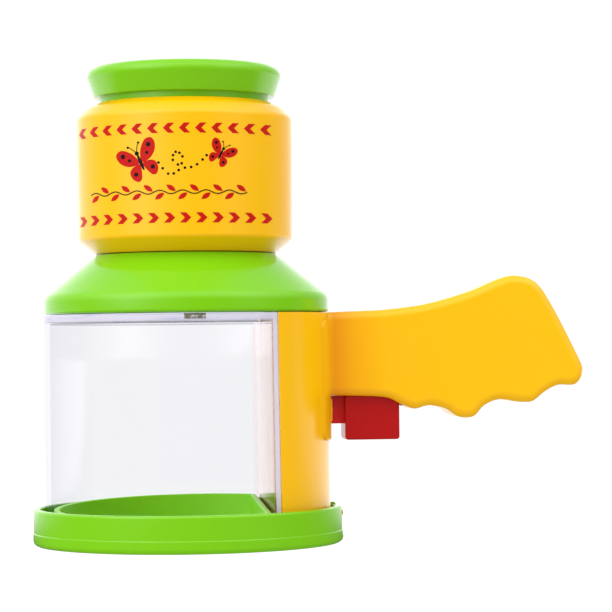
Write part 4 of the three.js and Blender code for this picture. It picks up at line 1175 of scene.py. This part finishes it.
flightShares = [
    (0.0, 0.0), (0.2, -0.5), (0.42, -0.35), (0.5, 0.25), (0.36, 0.45), (0.3, 0.1), (0.55, -0.25), (0.8, -0.1),
    (1.0, 0.3),
]


def wallRadius(z):
    b = SimpleNamespace(**barrel)
    return b.radius - b.draft * (b.crownZ - z) / (b.crownZ - b.chamferZ)


def layPrint(shape, name, ink, layer):
    p = SimpleNamespace(**printing)
    towards = Matrix.Rotation(math.radians(p.turn), 4, "Z")
    reach = int(barrel["radius"] / p.slice)
    with editing(shape) as work:
        bmesh.ops.triangulate(work, faces=work.faces)
        for k in range(-reach, reach + 1):
            splitAt(work, (k * p.slice, 0, 0), (1, 0, 0))
        for vertex in work.verts:
            x, z = vertex.co.x, vertex.co.z
            x += p.crowd * max(0.0, p.crowdFrom - x) ** 2
            radius = wallRadius(z) + p.lift * layer
            vertex.co = towards @ Vector((x, -math.sqrt(radius ** 2 - x ** 2), z))
    film = shape.modifiers.new("film", "SOLIDIFY")
    film.thickness = p.film
    film.offset = -1
    bake(shape)
    finishPiece(shape, name, ink, "housing", sharp=p.sharp)


def rowTree(name, shapeOf, sizes):
    # A row along X of one flat shape, which may lean and step aside by turns
    tree, given = newTree(name, {
        "Count": "Int", "Spacing": "Float", "Start": "Vector", "Lean": "Float", "Step": "Float",
        "Finish": "Material", **dict.fromkeys(sizes, "Float"),
    })
    offset = addNode(tree, "ShaderNodeCombineXYZ", {"X": given["Spacing"]})
    line = addNode(tree, "GeometryNodeMeshLine", {
        "mode": "OFFSET", "Count": given["Count"], "Start Location": given["Start"], "Offset": offset,
    })
    index = addNode(tree, "GeometryNodeInputIndex")
    parity = addNode(tree, "ShaderNodeMath", {"operation": "MODULO", 0: index, 1: 2.0})
    sign = addNode(tree, "ShaderNodeMath", {"operation": "MULTIPLY_ADD", 0: parity, 1: 2.0, 2: -1.0})
    step = addNode(tree, "ShaderNodeMath", {"operation": "MULTIPLY", 0: sign, 1: given["Step"]})
    aside = addNode(tree, "ShaderNodeCombineXYZ", {"Z": step})
    points = addNode(tree, "GeometryNodeSetPosition", {"Geometry": line, "Offset": aside})
    lean = addNode(tree, "ShaderNodeMath", {"operation": "MULTIPLY", 0: sign, 1: given["Lean"]})
    turn = addNode(tree, "ShaderNodeCombineXYZ", {"Y": lean})
    standing = addNode(tree, "GeometryNodeTransform", {
        "Rotation": (math.pi / 2, 0.0, 0.0), "Geometry": shapeOf(tree, given),
    })
    placed = addNode(tree, "GeometryNodeInstanceOnPoints", {
        "Points": points, "Instance": standing, "Rotation": turn,
    })
    return endTree(tree, placed, given["Finish"])


# Points along X and along Y
chevronGrid, leafGrid = (2, 9), (13, 9)


def shapedGrid(tree, sizeX, sizeY, counts, newPlace):
    # A flat grid whose points are moved by newPlace(x, y)
    grid = addNode(tree, "GeometryNodeMeshGrid", {
        "Vertices X": counts[0], "Vertices Y": counts[1], "Size X": sizeX, "Size Y": sizeY,
    })
    here = addNode(tree, "ShaderNodeSeparateXYZ", {0: addNode(tree, "GeometryNodeInputPosition")})
    x, y = newPlace(here.outputs["X"], here.outputs["Y"])
    place = addNode(tree, "ShaderNodeCombineXYZ", {"X": x, "Y": y})
    return addNode(tree, "GeometryNodeSetPosition", {"Geometry": grid, "Position": place})


def chevronShape(tree, given):
    def bent(x, y):
        away = addNode(tree, "ShaderNodeMath", {"operation": "ABSOLUTE", 0: y})
        return addNode(tree, "ShaderNodeMath", {
            "operation": "MULTIPLY_ADD", 0: away, 1: given["Slope"], 2: x,
        }), y
    return shapedGrid(tree, given["Stroke"], given["Height"], chevronGrid, bent)


def leafShape(tree, given):
    def pointed(x, y):
        # The width falls to nothing at both ends, as 1 - (2x / length) squared
        share = addNode(tree, "ShaderNodeMath", {"operation": "DIVIDE", 0: x, 1: given["Length"]})
        square = addNode(tree, "ShaderNodeMath", {"operation": "MULTIPLY", 0: share, 1: share})
        left = addNode(tree, "ShaderNodeMath", {"operation": "MULTIPLY_ADD", 0: square, 1: -4.0, 2: 1.0})
        return x, addNode(tree, "ShaderNodeMath", {"operation": "MULTIPLY", 0: y, 1: left})
    return shapedGrid(tree, given["Length"], given["Width"], leafGrid, pointed)


def dotTree():
    tree, given = newTree("printed dots", {"Radius": "Float", "Finish": "Material"})
    disc = addNode(tree, "GeometryNodeMeshCircle", {
        "fill_type": "NGON", "Vertices": 16, "Radius": given["Radius"],
    })
    standing = addNode(tree, "GeometryNodeTransform", {"Rotation": (math.pi / 2, 0.0, 0.0), "Geometry": disc})
    placed = addNode(tree, "GeometryNodeInstanceOnPoints", {
        "Points": given["Geometry"], "Instance": standing,
    })
    return endTree(tree, placed, given["Finish"])


def flatShape(outlines):
    # Faces in the X and Z plane that look towards -Y
    verts, faces = [], []
    for outline in outlines:
        area = sum(a.x * b.y - b.x * a.y for a, b in zip(outline, outline[1:] + outline[:1]))
        ordered = outline if area > 0 else outline[::-1]
        faces.append(tuple(range(len(verts), len(verts) + len(ordered))))
        verts += [(point.x, 0.0, point.y) for point in ordered]
    return newObject("print", verts, faces)


def ribbon(line, thick):
    # A line with a thickness, as an outline
    sides = ([], [])
    for i, point in enumerate(line):
        along = alongAt(line, i)
        across = Vector((-along.y, along.x)) * thick / 2
        sides[0].append(point + across)
        sides[1].append(point - across)
    return sides[0] + sides[1][::-1]


def butterflyOutlines(own):
    b, f = SimpleNamespace(**bodyShares), SimpleNamespace(**feelerShares)
    turn = Matrix.Rotation(math.radians(own["tilt"]), 2)
    middle = Vector((own["x"], own["z"]))

    def placed(outline, side=1):
        return [turn @ Vector((point[0] * side, point[1])) * own["span"] + middle for point in outline]

    wings = [
        placed(smoothLine(shares, printing["curveSteps"], closed=True), side) for shares in wingShares
        for side in (-1, 1)
    ]
    body = [onCircle(1.0, 2 * math.pi * k / b.steps) for k in range(b.steps)]
    body = [(b.middle[0] + b.half[0] * point.x, b.middle[1] + b.half[1] * point.y) for point in body]
    marks = [placed(body), placed(circle(*headShare, steps=16))]
    shares = [k / f.steps for k in range(f.steps + 1)]
    feeler = [
        Vector((f.root[0] + f.reach[0] * share, f.root[1] + f.reach[1] * math.sin(share * f.bend)))
        for share in shares
    ]
    for side in (-1, 1):
        marks.append(placed(ribbon(feeler, f.thick), side))
        marks.append(placed(circle(*feeler[-1], f.knob, steps=12), side))
        marks += [placed(circle(*spot, steps=20), side) for spot in spotShares]
    return wings, marks


def buildPrint():
    p = SimpleNamespace(**printing)
    chevrons = rowTree("printed chevrons", chevronShape, ("Stroke", "Height", "Slope"))
    for name, level, slope in (("upper", p.rows[0], p.slope), ("lower", p.rows[1], -p.slope)):
        middle = p.height / 4 * slope
        row = growNodes(chevrons, {
            "Count": p.count, "Spacing": p.spacing, "Lean": 0.0, "Step": 0.0, "Finish": redInk,
            "Start": (p.right - (p.count - 1) * p.spacing - middle, 0.0, level),
            "Stroke": p.stroke, "Height": p.height, "Slope": slope,
        })
        layPrint(row, name + "_chevrons", redInk, 1)

    # The stem waves to and fro, with a leaf at each bend
    leaves = rowTree("printed leaves", leafShape, ("Length", "Width"))
    count = 2 * p.vineWaves
    length = p.vineRight - p.vineLeft
    row = growNodes(leaves, {
        "Count": count, "Spacing": length / count, "Lean": p.leafTilt, "Step": p.leafLift, "Finish": redInk,
        "Start": (p.vineLeft + length / count / 2, 0.0, p.vineZ),
        "Length": p.leafLength, "Width": p.leafWidth,
    })
    layPrint(row, "vine_leaves", redInk, 1)
    shares = [k / (p.stemSteps * count) for k in range(p.stemSteps * count + 1)]
    stem = [
        Vector((p.vineLeft + length * share, p.vineZ + p.vineWave * math.sin(math.pi * count * share)))
        for share in shares
    ]
    layPrint(flatShape([ribbon(stem, p.vineThick)]), "vine_stem", blackInk, 2)

    wings, marks = [], []
    for own in butterflies:
        red, black = butterflyOutlines(own)
        wings += red
        marks += black
    layPrint(flatShape(wings), "butterfly_wings", redInk, 1)
    layPrint(flatShape(marks), "butterfly_marks", blackInk, 2)
    first, last = butterflies
    fromX, toX = first["x"] + p.flightFrom * first["span"], last["x"] - p.flightTo * last["span"]
    flight = [Vector((fromX + (toX - fromX) * x, first["z"] + p.flightHigh * y)) for x, y in flightShares]
    dots = [(point.x, 0.0, point.y) for point in smoothLine(flight, steps=2)]
    layPrint(growNodes(dotTree(), {"Radius": p.dot, "Finish": blackInk}, dots), "flight_path", blackInk, 1)


buildPrint()

# Hidden working parts keep their CAD shape and get their finish
for nodeName, material, slotName in (
    ("column_back_plate", yellowAbs, "yellow_plastic"), ("push_rod", acetal, "white_plastic"),
    ("return_spring", steel, "steel"), ("hinge_pin", steel, "steel"), ("trigger_pivot_pin", steel, "steel"),
):
    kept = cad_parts[nodeName]
    kept.data.materials.clear()
    kept.data.materials.append(material)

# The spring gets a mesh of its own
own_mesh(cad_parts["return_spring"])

print("scene ready")
